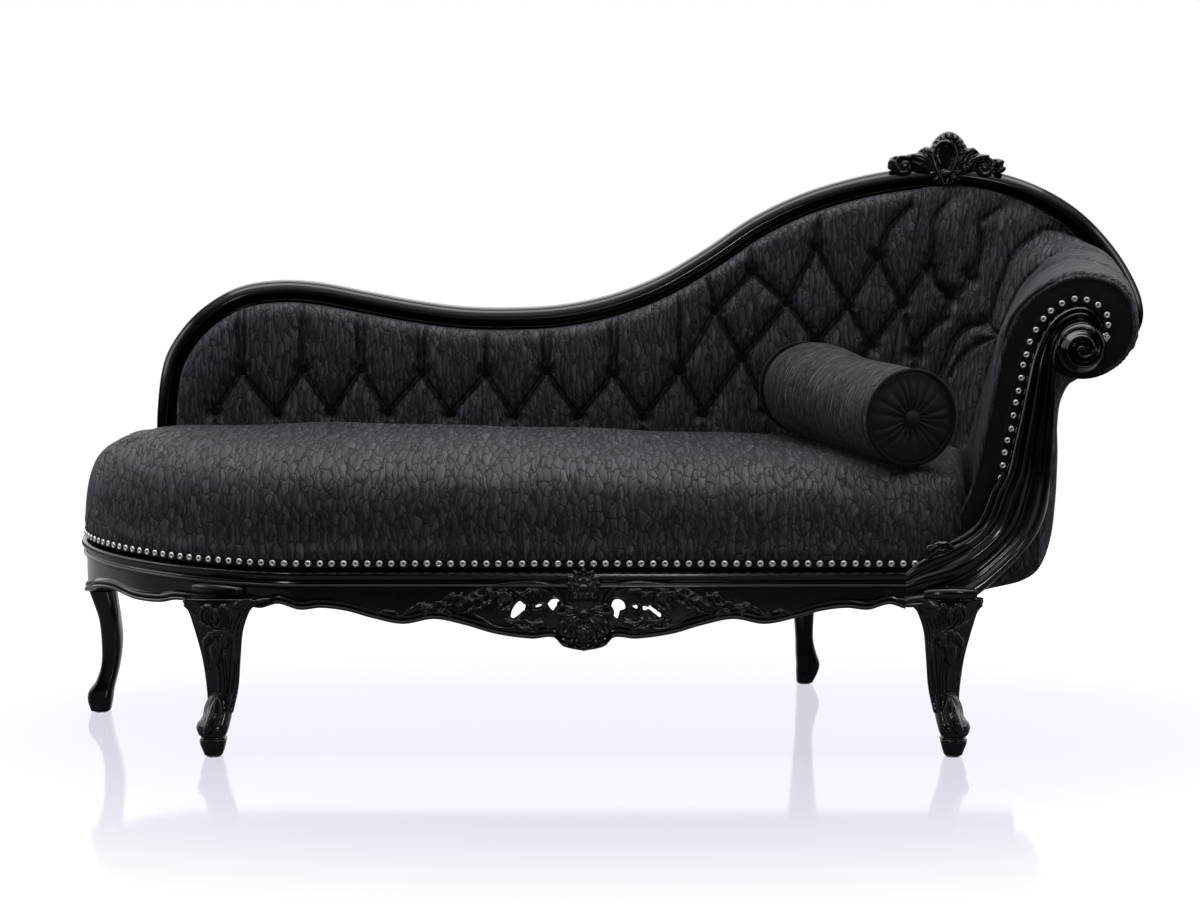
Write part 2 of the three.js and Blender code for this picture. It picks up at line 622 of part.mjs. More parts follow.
// The nail band along the facing's inner edge
function armNailBand() {
  const from = 8 / 18;
  const rings = steps(24).map((s) => {
    const t = mix(from, 1, s);
    const p = postInner.getPoint(t);
    const d = postInner.getTangent(t);
    const corner = (out, y) => v3(p.x - d.z * out, y, p.z + d.x * out);
    const front = ARM_FRONT_Y - 10.5;
    const rear = ARM_FRONT_Y - 8 - GAP;
    return [corner(4, front), corner(16, front), corner(16, rear), corner(4, rear)];
  });
  return loft(rings);
}
add("arm_nail_band", armNailBand(), PLAIN_CLOTH);

// The seat: webbing, springs, deck and the sewn, crowned top
const SEAT_REAR_Y = 230; // where the seat meets the back padding
const armFootX = (y) => 592 + (y - ARM_FRONT_Y) * 0.115; // inner foot of the arm in plan

// Where sections of the seat's edge stand along its outline
const seatStations = steps(32).map((s) => mix(0.02, seatShareAtX(-470) + 0.405, s));

// The sewn seat's outline in plan, with how far each point may be drawn in at the top
const seatOutline = (() => {
  const points = [];
  seatStations.forEach((t) => {
    const d = seatLine.getPoint(t);
    points.push({ p: v2(d.x, d.y), n: seatPoint(t, 1).sub(d), free: 1 });
  });
  const hide = (x, y, nx, ny, free) => points.push({ p: v2(x, y), n: v2(nx, ny).normalize(), free });
  hide(-800, 250, -0.3, 1, 0.6);
  hide(-775, 248, 0, 1, 0.25);
  hide(-752, 236, 0, 1, 0.15);
  steps(7).forEach((s) => hide(mix(-735, 470, s), SEAT_REAR_Y, 0, 1, 0.12));
  steps(4).slice(1).forEach((s) => {
    const a = mix(Math.PI / 2, 0.1, s);
    hide(500 + 132 * Math.cos(a), 98 + 132 * Math.sin(a), Math.cos(a), Math.sin(a), 0.12);
  });
  steps(5).slice(1).forEach((s) => {
    const y = mix(98, -262, s);
    hide(armFootX(y) - 4, y, 1, 0, mix(0.12, 0.5, s));
  });
  hide(560, -286, 0.7, -0.7, 0.8);
  hide(520, -297, 0.2, -1, 1);
  return points;
})();
const seatCrown = (x) => SEAT_TOP + 8 * Math.exp(-(((x + 430) / 330) ** 2)) - 14 * smooth(x, -200, 560);

function seatCushion() {
  const levels = [
    [0, 0], [20, 0], [26, -3], [60, -6.5], [100, -4], [132, 5], [150, 20], [162, 42], [168, 78], [170, 120],
  ];
  const rings = levels.map(([up, inset]) => seatOutline.map(({ p, n, free }) => {
    const share = up / 170;
    const x = p.x - n.x * inset * free;
    const y = p.y - n.y * inset * free;
    const top = seatCrown(x) - RAIL_TOP - GAP - (1 - free) * 2;
    return v3(x, y, RAIL_TOP + GAP + share * top);
  }));
  const n = seatOutline.length;
  const points = rings.flat();
  const faces = [];
  for (let i = 0; i + 1 < rings.length; i++) {
    for (let j = 0; j < n; j++) {
      const k = (j + 1) % n;
      faces.push([i * n + j, i * n + k, (i + 1) * n + k], [i * n + j, (i + 1) * n + k, (i + 1) * n + j]);
    }
  }
  const end = (rings.length - 1) * n;
  capFaces(rings[0]).forEach(([a, b, c]) => faces.push([a, c, b]));
  const level = rings[rings.length - 1].map((p) => v3(p.x, p.y, 0));
  capFaces(level).forEach(([a, b, c]) => faces.push([end + a, end + b, end + c]));
  return skin(points, faces);
}
add("seat_cushion", cut(seatCushion(), postStrip(1.5), armFacing(2)), BROCADE);

function seatNailBand() {
  const section = [[0.8, BAND_LOW], [3.3, BAND_LOW], [3.3, BAND_HIGH], [0.8, BAND_HIGH]];
  const rings = [0.006, ...seatStations].map((t) => {
    return section.map(([out, z]) => {
      const p = seatPoint(t, out);
      return v3(p.x, p.y, z);
    });
  });
  return loft(rings);
}
add("seat_nail_band", seatNailBand(), PLAIN_CLOTH);

// The deck's outline runs inside the rails
const deckOutline = [
  ...steps(16).map((s) => seatPoint(mix(0.02, 0.965, s), -RAIL_THICK - 3)),
  v2(-700, REAR_Y - RAIL_THICK - 3), v2(620, REAR_Y - RAIL_THICK - 3),
  v2(600, -200), v2(470, FRONT_Y + RAIL_THICK + 3),
];
function flatBoard(outline, z0, z1) {
  const flat = new THREE.ExtrudeGeometry(new THREE.Shape(outline), { depth: z1 - z0, bevelEnabled: false });
  return flat.translate(0, 0, z0);
}
add("seat_deck", flatBoard(deckOutline, 300.5, RAIL_TOP - 0.2), WADDING);
add("dust_cover", flatBoard(deckOutline, 262, 263.2), LINING);

function seatWebbing() {
  const long = [[-110, -690], [0, -755], [110, -785]].map(([y, left]) =>
    box([left, y - 25, 268], [606, y + 25, 271]));
  const short = steps(5).map((s) => {
    const x = mix(-590, 540, s);
    return box([x - 25, -198, 270], [x + 25, 228, 273]);
  });
  return join(...long, ...short);
}
add("seat_webbing", seatWebbing(), JUTE);

// A serpentine spring bent from flat strip, running from the front rail to the rear rail
function seatSpring(x) {
  const bends = 9;
  const y0 = -232;
  const y1 = 226;
  const half = 2.5;
  const centre = steps(bends * 2).map((s) => v2(x + 26 * Math.sin(s * bends * Math.PI), mix(y0, y1, s)));
  const side = (sign) => centre.map((p, i) => {
    const next = centre[Math.min(i + 1, centre.length - 1)];
    const d = next.clone().sub(centre[Math.max(i - 1, 0)]).normalize();
    return v2(p.x - d.y * half * sign, p.y + d.x * half * sign);
  });
  return flatBoard([...side(1), ...side(-1).reverse()], 290, 294);
}
[-540, -330, 20, 400].forEach((x, i) => add(`seat_spring_${i + 1}`, seatSpring(x), STEEL));

[-445, -215, 245].forEach((x, i) => {
  const low = [x - 22, FRONT_Y + RAIL_THICK + GAP, 275];
  const high = [x + 22, REAR_Y - RAIL_THICK - GAP, 288];
  add(`seat_stretcher_${i + 1}`, box(low, high), BEECH);
});

// Frame of the head end: end rail, rear post, front stump, roll core and tacking rails
const flareX = (y) => (y - ARM_FRONT_Y) * ARM_FLARE;
function headEndRail() {
  const y0 = POST_REAR_Y + GAP;
  const y1 = REAR_Y - RAIL_THICK - GAP;
  const section = [[650, 252], [690, 252], [690, RAIL_TOP], [650, RAIL_TOP]];
  const ring = (y) => section.map(([x, z]) => v3(x + flareX(y), y, z));
  return loft([ring(y0), ring(y1)]);
}
add("head_end_rail", headEndRail(), BEECH);

function armFrontStump() {
  const y0 = POST_REAR_Y + GAP;
  const foot = RAIL_TOP + GAP;
  const neck = [[652, foot], [652, 440], [668, 560], [682, 650], [750, 680], [706, 600], [704, foot]];
  const disc = turned([[0, y0], [50, y0], [50, -226], [0, -226]], ROLL.x + 3, 0, ROLL.z, 20);
  return join(board(neck, y0, -226), disc);
}
add("arm_front_stump", armFrontStump(), BEECH);
add("arm_rear_post", box([690, 205, RAIL_TOP + GAP], [745, 240, 640]), BEECH);

function armRollCore() {
  const centre = (y) => [ROLL.x + 3 + flareX(y), ROLL.z - 1];
  const ring = (y) => steps(16).slice(0, -1).map((s) => {
    const [x, z] = centre(y);
    return v3(x + 44 * Math.cos(2 * Math.PI * s), y, z + 44 * Math.sin(2 * Math.PI * s));
  });
  return loft([ring(-225.7), ring(150)]);
}
add("arm_roll_core", armRollCore(), BEECH);

// Padding of the back, sewn down with buttons in a diamond pattern. Rows share the height between
// the lowest row and the rail, and lean to the right where the back climbs.
const BUTTON_LOW = 500;
const BUTTON_NEXT = 575;
const LEAN = 0.17;
const PAD_BOTTOM = 441;
const ROW_LEVELS = [PAD_BOTTOM, 470, BUTTON_LOW, 537, BUTTON_NEXT]; // fixed heights up to the second row
const HIGH_ROWS = [0.19, 0.38, 0.52, 0.66, 0.84, 0.96, 1]; // shares of what is left above it
const isButton = (column, row) => {
  const step = ((column % 4) + 4) % 4;
  return (step === 0 && (row === 2 || row === 6)) || (step === 2 && (row === 4 || row === 8));
};

// Height of the padding's top edge at x, just inside the rail
const padTop = (x) => innerHeight(x) - 2.5;
function backColumn(column) {
  const x0 = BUTTON_FIRST + (column * BUTTON_PITCH) / 4;
  const leanFrom = smooth(x0, -20, 200) * LEAN;
  let top = padTop(Math.max(x0, PAD_LEFT + 1));
  for (let i = 0; i < 12; i++) {
    top = padTop(Math.max(x0, PAD_LEFT + 1) + leanFrom * Math.max(top - BUTTON_NEXT, 0));
  }
  const span = top - BUTTON_NEXT;
  const levels = span > 25
    ? [...ROW_LEVELS, ...HIGH_ROWS.map((h) => BUTTON_NEXT + h * span)]
    : steps(ROW_LEVELS.length + HIGH_ROWS.length - 1).map((s) => mix(PAD_BOTTOM, top, s));
  return levels.map((z, row) => {
    const x = x0 + leanFrom * Math.max(z - BUTTON_NEXT, 0);
    return { x, z, row, column, top, span };
  });
}

// How deep the padding dips at a grid point: buttons, the pleats between them and the pleats above
function dip(column, row, span) {
  if (isButton(column, row)) return BUTTON_DEEP;
  const beside = [[1, 1], [1, -1], [-1, 1], [-1, -1]].some(([dc, dr]) => isButton(column + dc, row + dr));
  const highest = span > 200 ? 8 : 4;
  if (beside && row <= highest) return BUTTON_DEEP * 0.45;
  const step = ((column % 4) + 4) % 4;
  if (row > highest && step === 2) return 5;
  return row < 2 && step === 0 ? 4 : 0;
}

const SEAM_COLUMN = 44; // where the back padding ends and the arm padding begins
function backFace({ x, z, row, column, top, span }) {
  const toTop = smooth(z, top - 26, top);
  const toLeft = 1 - smooth(x, PAD_LEFT, PAD_LEFT + 30);
  const height = THREE.MathUtils.clamp((z - PAD_BOTTOM) / (top - PAD_BOTTOM), 0, 1);
  const swell = 6 * Math.sin(Math.PI * height);
  const round = Math.max(toTop, toLeft) * 20;
  return v3(x, PAD_FACE_Y - swell + Math.min(round + dip(column, row, span), BUTTON_DEEP + 10), z);
}

function insideBackPad() {
  const columns = [PAD_LEFT, -742, -728].map((x) => ((x - BUTTON_FIRST) * 4) / BUTTON_PITCH);
  for (let c = -1; c <= SEAM_COLUMN; c++) columns.push(c);
  const grid = columns.map(backColumn);
  return flatBackedPad(grid.map((col) => col.map(backFace)), PAD_BACK_Y);
}
const railLow = backRail(0, JOINT_LOW - HALF_PLAY, FOOT_STATIONS, 1);
add("inside_back_pad", cut(insideBackPad(), railLow), BROCADE);

// Padding of the arm: a net of five profiles from the seam with the back, round the corner and along
// the roll to the front. Each runs from the seat up the inner face, over the roll and under it.
const seamLine = backColumn(SEAM_COLUMN).map(backFace);
const seamX = seamLine[0].x;
const seamTop = seamLine[seamLine.length - 1];
const ARM_NET = [
  [[seamX, 240, 441], [seamX + 4, 232, 560], [seamX + 22, 230, 670], [seamX + 40, 232, 770],
    [seamX + 52, 240, 850], [seamTop.x, 259, seamTop.z - 2]],
  [[606, 205, 441], [634, 205, 570], [668, 212, 690], [708, 226, 780], [756, 242, 832], [792, 258, 846]],
  [[642, 120, 441], [678, 130, 580], [718, 142, 710], [788, 172, 798], [868, 212, 800], [912, 240, 758]],
  [[634, 0, 441], [668, -4, 580], [694, -4, 712], [786, 0, 792], [884, 6, 762], [898, 4, 676]],
  [[600, ARM_FRONT_Y, 441], [625, ARM_FRONT_Y, 560], [647, ARM_FRONT_Y, 706], [741, ARM_FRONT_Y, 784],
    [838, ARM_FRONT_Y, 762], [857, ARM_FRONT_Y, 672]],
];
// The underside of the roll, where the padding is tacked to the outer panel
const ARM_END = [
  [seamTop.x + 1, 260, seamTop.z - 1], [800, 259, 843], [930, 248, 716], [862, 4, 622],
  [800, ARM_FRONT_Y, 618],
];
const armCurves = ARM_NET[0].map((_, k) =>
  new THREE.CatmullRomCurve3(ARM_NET.map((row) => v3(...row[k])), false, "centripetal"));
armCurves.push(new THREE.CatmullRomCurve3(ARM_END.map((p) => v3(...p)), false, "centripetal"));

const ARM_COLUMNS = 18;
const ARM_ROWS = 18;
const CHANNEL_DEEP = 14; // how far the channels of the arm are sewn in
function armPoint(u, v) {
  const profile = new THREE.CatmullRomCurve3(armCurves.map((c) => c.getPoint(u)), false, "centripetal");
  return profile.getPoint(v);
}
function armNormal(u, v) {
  const e = 0.01;
  const du = armPoint(Math.min(u + e, 1), v).sub(armPoint(Math.max(u - e, 0), v));
  const dv = armPoint(u, Math.min(v + e, 1)).sub(armPoint(u, Math.max(v - e, 0)));
  return du.cross(dv).normalize();
}
// Channels of the arm padding: sewn valleys that fan out from the corner and over the roll
function armChannel(u, v) {
  const wave = Math.abs(Math.sin(u * Math.PI * 4.5));
  const edge = smooth(v, 0.02, 0.2) * (1 - smooth(v, 0.86, 1)) * smooth(u, 0, 0.1) * (1 - smooth(u, 0.9, 1));
  return CHANNEL_DEEP * edge * (1 - wave) ** 1.5;
}
function insideArmPad() {
  const sheet = (depth) => steps(ARM_COLUMNS).map((u) => steps(ARM_ROWS).map((v) => {
    const p = armPoint(u, v).addScaledVector(armNormal(u, v), -depth(u, v));
    p.y = Math.max(p.y, ARM_FRONT_Y);
    return p;
  }));
  return pad(sheet(armChannel), sheet(() => ARM_PAD));
}
const railEnd = backRail(JOINT_HIGH + HALF_PLAY, 1, HEAD_STATIONS, 1.2);
add("inside_arm_pad", cut(insideArmPad(), railEnd, box([400, 268, 300], [1100, 400, 1100])), BROCADE);

// Outer covers
const OUTER_PROFILE = [
  [690, 240], [722, 262], [736, 292], [742, 330], [746, 400], [752, 480], [762, 535], [778, 584], [794, 604],
];
function outsideArmPanel() {
  const y0 = POST_REAR_Y + GAP;
  const y1 = BACK_Y + 8;
  const thick = 7;
  const rings = steps(10).map((s) => {
    const y = mix(y0, y1, s);
    const outer = OUTER_PROFILE.map(([x, z]) => v3(x - 8 + flareX(y), y, z));
    const inner = OUTER_PROFILE.map(([x, z]) => v3(x - 8 - thick + flareX(y), y, z)).reverse();
    return [...outer, ...inner];
  });
  return loft(rings);
}
add("outside_arm_panel", cut(outsideArmPanel(), railEnd), BROCADE);

const backFrameTop = steps(60).map((s) => backPoint(mix(0.09, 0.995, s), -BACK_RAIL_WIDE - 1, 0));
function outsideBackPanel() {
  const inside = OUTER_PROFILE.map(([x, z]) => [x - 18 + flareX(REAR_Y), z]);
  const right = inside.filter(([, z]) => z > RAIL_TOP && z < 590).reverse();
  const foot = RAIL_TOP + 0.5;
  const outline = [[-753, foot], ...backFrameTop.map((p) => [p.x, p.z]), ...right, [770, foot]];
  return cut(board(outline, 291, 297), railEnd);
}
add("outside_back_panel", outsideBackPanel(), PLAIN_CLOTH);

// Uprights and tacking rail between the back padding and the outer cover
[-600, -170, 270, 640].forEach((x, i) => {
  const top = Math.min(innerHeight(x - 24), innerHeight(x + 24)) - 1;
  add(`back_upright_${i + 1}`, box([x - 24, 268, RAIL_TOP + GAP], [x + 24, REAR_Y, top]), BEECH);
});
[[-750, -624.3], [-575.7, -194.3], [-145.7, 245.7], [294.3, 615.7]].forEach(([x0, x1], i) =>
  add(`back_tacking_rail_${i + 1}`, box([x0, 268, 400], [x1, REAR_Y, 438]), BEECH));

// The loose bolster: filling, sleeve, welts, gathered ends and buttons, lying across the seat
const near = v2(...BOLSTER.near);
const far = v2(...BOLSTER.far);
const bolsterLong = near.distanceTo(far);
const bolster = new THREE.Group();
bolster.position.set((near.x + far.x) / 2, (near.y + far.y) / 2, BOLSTER.bottom + BOLSTER.r);
bolster.rotation.z = Math.atan2(far.y - near.y, far.x - near.x) - Math.PI / 2;
group.add(bolster);
const ROUND = 24; // sides of the sleeve and its welts
const WELT_R = 4;
const lathe = (profile, sides = ROUND) => new THREE.LatheGeometry(profile.map(([r, y]) => v2(r, y)), sides);
function addBolster(name, geometry, material) {
  const shown = geometry.toNonIndexed();
  shown.computeVertexNormals();
  const mesh = new THREE.Mesh(shown, material);
  mesh.name = name;
  bolster.add(mesh);
}
const half = bolsterLong / 2;
const filling = half - 14;
const fillingProfile = [
  [0, -filling], [BOLSTER.r - 10, -filling], [BOLSTER.r - 7, 0], [BOLSTER.r - 10, filling], [0, filling],
];
addBolster("bolster_filling", lathe(fillingProfile, 20), WADDING);
addBolster("bolster_sleeve", hoop(steps(ROUND).slice(0, -1).map((s) => {
  const a = 2 * Math.PI * s;
  const end = half - 8;
  const section = [
    [BOLSTER.r - 4, -end], [BOLSTER.r - 0.5, -half / 2], [BOLSTER.r, 0], [BOLSTER.r - 0.5, half / 2],
    [BOLSTER.r - 4, end], [BOLSTER.r - 8, end], [BOLSTER.r - 5, 0], [BOLSTER.r - 8, -end],
  ];
  return section.map(([r, y]) => v3(r * Math.cos(a), y, r * Math.sin(a)));
})), BROCADE);
for (const [place, sign] of [["near", -1], ["far", 1]]) {
  const at = (profile) => (sign < 0 ? profile.map(([r, y]) => [r, -y]) : profile);
  const welt = steps(6).slice(0, -1).map((s) => {
    const a = 2 * Math.PI * s;
    return [BOLSTER.r - 5 + WELT_R * Math.cos(a), half - 3.6 + WELT_R * Math.sin(a)];
  });
  addBolster(`bolster_welt_${place}`, hoop(steps(ROUND).slice(0, -1).map((s) => {
    const a = 2 * Math.PI * s;
    return at(welt).map(([r, y]) => v3(r * Math.cos(a), y, r * Math.sin(a)));
  })), BROCADE);
  // The end is gathered: its surface rises and falls in pleats that die out at the rim
  const pleats = 20;
  const ringsOut = [[16, 2], [30, 8], [48, 10], [62, 7], [BOLSTER.r - 11, 0]];
  const points = [v3(0, sign * (half - 4), 0), v3(0, sign * (half - 13), 0)];
  const sides = pleats * 2;
  ringsOut.forEach(([r, up], k) => {
    for (let i = 0; i < sides; i++) {
      const a = (2 * Math.PI * i) / sides;
      const wave = (i % 2 ? -1.5 : 1.5) * (k < 4 ? 1 : 0);
      points.push(v3(r * Math.cos(a), sign * (half - 8 + up + wave), r * Math.sin(a)));
    }
  });
  for (let i = 0; i < sides; i++) {
    const a = (2 * Math.PI * i) / sides;
    points.push(v3((BOLSTER.r - 11) * Math.cos(a), sign * (half - 13), (BOLSTER.r - 11) * Math.sin(a)));
  }
  const faces = [];
  const first = 2;
  const lastRing = ringsOut.length;
  for (let i = 0; i < sides; i++) {
    const k = (i + 1) % sides;
    faces.push([0, first + i, first + k]);
    for (let ring = 0; ring < lastRing; ring++) {
      const a = first + ring * sides;
      faces.push([a + i, a + sides + i, a + sides + k], [a + i, a + sides + k, a + k]);
    }
    faces.push([1, first + lastRing * sides + k, first + lastRing * sides + i]);
  }
  addBolster(`bolster_end_${place}`, skin(points, faces), BROCADE);
  const button = at([[0, half - 1], [13, half - 1], [13, half + 3], [8, half + 7], [0, half + 8]]);
  if (sign < 0) button.reverse();
  addBolster(`bolster_button_${place}`, lathe(button, 16), BROCADE);
}

// The whole stands with the middle of its footprint at the origin
const bounds = new THREE.Box3().setFromObject(group, true);
group.position.set(-(bounds.min.x + bounds.max.x) / 2, -(bounds.min.y + bounds.max.y) / 2, -bounds.min.z);
const couch = new THREE.Group();
couch.add(group);

export default couch;
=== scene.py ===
"""A fainting couch in black gloss lacquer and black jacquard brocade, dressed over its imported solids."""
import math

import bmesh
import bpy
import numpy as np
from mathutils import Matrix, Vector


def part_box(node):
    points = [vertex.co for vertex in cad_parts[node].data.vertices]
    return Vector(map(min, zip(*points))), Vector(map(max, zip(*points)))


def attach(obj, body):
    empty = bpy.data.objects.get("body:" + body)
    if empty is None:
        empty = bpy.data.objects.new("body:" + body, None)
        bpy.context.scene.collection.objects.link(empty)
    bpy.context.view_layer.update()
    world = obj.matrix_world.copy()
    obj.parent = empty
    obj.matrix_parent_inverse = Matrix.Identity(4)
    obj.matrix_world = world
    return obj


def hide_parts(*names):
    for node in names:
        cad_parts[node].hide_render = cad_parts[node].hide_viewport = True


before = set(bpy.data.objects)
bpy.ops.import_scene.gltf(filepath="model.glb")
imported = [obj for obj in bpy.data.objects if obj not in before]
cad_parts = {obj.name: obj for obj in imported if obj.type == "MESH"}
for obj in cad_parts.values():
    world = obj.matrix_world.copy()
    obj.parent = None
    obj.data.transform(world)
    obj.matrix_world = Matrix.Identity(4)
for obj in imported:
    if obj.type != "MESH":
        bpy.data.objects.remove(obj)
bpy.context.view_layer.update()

MM = 0.001

# The numbers below are millimetres as drawn: X to the right of the photograph's middle, Z up from the floor.
# The drawing is shifted to the part's own frame by the place of the left front glide.
GLIDE_DRAWN = np.array([-626.5, -278.0])
glide_low, glide_high = (np.array(corner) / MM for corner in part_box("front_left_glide"))
SHIFT = np.append((glide_low + glide_high)[:2] / 2 - GLIDE_DRAWN, 0.0)

# Driving dimensions, the same as the solids'
FRONT_Y, REAR_Y, RAIL_TOP, RAIL_THICK, APRON_THICK = -300, 290, 308, 46, 18
SEAT_TOP, BACK_Y, BACK_RAIL_WIDE = 478, 278, 38
PAD_FACE_Y, PAD_BACK_Y, PAD_BOTTOM = 236, 267, 441
ARM_FLARE, ARM_FRONT_Y = 0.158, -268
ROLL_X, ROLL_Z, ROLL_R = 770, 697, 83
VOLUTE_X, VOLUTE_Z, VOLUTE_R = 763, 666, 39
APRON_X = -26
LEG_TOP, GLIDE = 246.7, 3
RAIL_FOOT = 249  # where the rail's lower edge meets the arm post
ARM_PAD_THICK = 24
NAIL_PITCH, NAIL_LINE_Z = 19.0, 320.0
COAT_REAR_Y = 267.5  # no pad reaches behind this
JUST_UNDER_ONE = 0.9999  # keeps the square roots of round edges off zero


# ---------------------------------------------------------------- lines and surfaces
def spline(points, places):
    """Points of a smooth line through the given ones; places run from 0 to 1, evenly from point to point."""
    points = np.asarray(points, float)
    last = len(points) - 1
    held = np.vstack([2 * points[0] - points[1], points, 2 * points[-1] - points[-2]])
    place = np.clip(np.atleast_1d(places), 0, 1) * last
    i = np.minimum(place.astype(int), last - 1)
    w = (place - i)[:, None]
    a, b, c, d = held[i], held[i + 1], held[i + 2], held[i + 3]
    ab, bc, cd = (np.maximum(np.linalg.norm(q - p, axis=1, keepdims=True), 1e-9) ** 0.5
                  for p, q in ((a, b), (b, c), (c, d)))
    out_b = ((b - a) / ab - (c - a) / (ab + bc) + (c - b) / bc) * bc
    out_c = ((c - b) / bc - (d - b) / (bc + cd) + (d - c) / cd) * bc
    return b + out_b * w + (3 * (c - b) - 2 * out_b - out_c) * w**2 + (2 * (b - c) + out_b + out_c) * w**3


def height_at(points, x):
    """Height of a smooth line through points (x, z) with rising x."""
    xs, zs = np.asarray(points, float).T
    last = len(xs) - 1
    slopes = np.array([(zs[min(k + 1, last)] - zs[max(k - 1, 0)]) / (xs[min(k + 1, last)] - xs[max(k - 1, 0)])
                       for k in range(last + 1)])
    x = np.clip(np.asarray(x, float), xs[0], xs[-1])
    i = np.clip(np.searchsorted(xs, x, side="right") - 1, 0, last - 1)
    w = xs[i + 1] - xs[i]
    t = (x - xs[i]) / w
    return ((2 * t**3 - 3 * t**2 + 1) * zs[i] + (t**3 - 2 * t**2 + t) * w * slopes[i]
            + (3 * t**2 - 2 * t**3) * zs[i + 1] + (t**3 - t**2) * w * slopes[i + 1])


def around(count):
    """Angles evenly round a full turn."""
    return np.linspace(0, 2 * np.pi, count, endpoint=False)


def circle(x, z, radius, angles):
    """Points (x, z) round a middle."""
    return np.stack([x + radius * np.cos(angles), z + radius * np.sin(angles)], 1)


class Run:
    """A line of many points, read by the share of its length."""

    def __init__(self, points):
        self.points = np.asarray(points, float)
        self.far = np.append(0, np.cumsum(np.linalg.norm(np.diff(self.points, axis=0), axis=1)))
        self.length = self.far[-1]

    def at(self, share):
        far = np.clip(np.atleast_1d(share), 0, 1) * self.length
        return np.stack([np.interp(far, self.far, column) for column in self.points.T], 1)

    def way(self, share, step=1e-3):
        share = np.atleast_1d(share)
        d = self.at(share + step) - self.at(share - step)
        return d / np.linalg.norm(d, axis=1, keepdims=True)


def ease(x, low, high):
    t = np.clip((np.asarray(x, float) - low) / (high - low), 0, 1)
    return t * t * (3 - 2 * t)


def blend(a, b, share):
    return a + (b - a) * share


def unit(v):
    return v / np.maximum(np.linalg.norm(v, axis=-1, keepdims=True), 1e-12)


def net(grid, wrap=False, first=0):
    """Faces of a net of points [row][column]; wrap joins its last row to its first."""
    m, n = grid.shape[:2]
    rows = range(m if wrap else m - 1)
    return [(first + i * n + j, first + i * n + j + 1, first + (i + 1) % m * n + j + 1, first + (i + 1) % m * n + j)
            for i in rows for j in range(n - 1)]


def loft(rings, joined=False):
    """A closed body through rings of points. Its ends are flat unless its last ring is joined to its first."""
    rings = np.asarray(rings, float)
    m, n = rings.shape[:2]
    faces = [(i * n + j, i * n + (j + 1) % n, (i + 1) % m * n + (j + 1) % n, (i + 1) % m * n + j)
             for i in range(m if joined else m - 1) for j in range(n)]
    if not joined:
        faces += [tuple(range(n - 1, -1, -1)), tuple(range((m - 1) * n, m * n))]
    return rings.reshape(-1, 3), faces


def quilt(front, rear):
    """A pad between two nets of points of the same size."""
    m, n = front.shape[:2]
    faces = net(front) + [f[::-1] for f in net(rear, first=m * n)]
    border = ([(i, 0) for i in range(m - 1)] + [(m - 1, j) for j in range(n - 1)]
              + [(i, n - 1) for i in range(m - 1, 0, -1)] + [(0, j) for j in range(n - 1, 0, -1)])
    ring = [i * n + j for i, j in border]
    faces += [(ring[k - 1], ring[k], m * n + ring[k], m * n + ring[k - 1]) for k in range(len(ring))]
    return np.concatenate([front.reshape(-1, 3), rear.reshape(-1, 3)]), faces


def board(outline, y0, y1):
    """A board standing in the XZ plane, from its outline of (x, z)."""
    outline = np.asarray(outline, float)
    ring = lambda y: np.stack([outline[:, 0], np.full(len(outline), y), outline[:, 1]], 1)
    return loft([ring(y0), ring(y1)])


def rod(points, radius, flat=1.0, sides=10, steps=None, up=(0, -1, 0)):
    """A rounded strip carved along a smooth line through points; radius is one number or one for each point,
    and flat is its height towards up as a share of its width."""
    points = np.asarray(points, float)
    steps = steps or max(6, 5 * (len(points) - 1))
    places = np.linspace(0, 1, steps + 1)
    line = spline(points, places)
    size = np.interp(places, np.linspace(0, 1, np.size(radius)), np.atleast_1d(radius).astype(float))
    along = unit(np.gradient(line, axis=0))
    across = unit(np.cross(along, np.array(up, float)))
    high = np.cross(across, along)
    turn = around(sides)
    rings = (line[:, None] + size[:, None, None] * (np.cos(turn)[None, :, None] * across[:, None]
             + flat * np.sin(turn)[None, :, None] * high[:, None]))
    return loft(rings)


def lump(x, y, z, rx, ry, rz, turn=0.0, sides=12):
    """A rounded lump with its own width, depth and height, leaning by turn."""
    rings = []
    for polar in np.linspace(0.12, np.pi - 0.12, 8):
        a = around(sides)
        px, pz = rx * np.sin(polar) * np.cos(a), rz * np.sin(polar) * np.sin(a)
        rings.append(np.stack([x + px * math.cos(turn) + pz * math.sin(turn), np.full(sides, y + ry * math.cos(polar)),
                               z - px * math.sin(turn) + pz * math.cos(turn)], 1))
    return loft(rings)


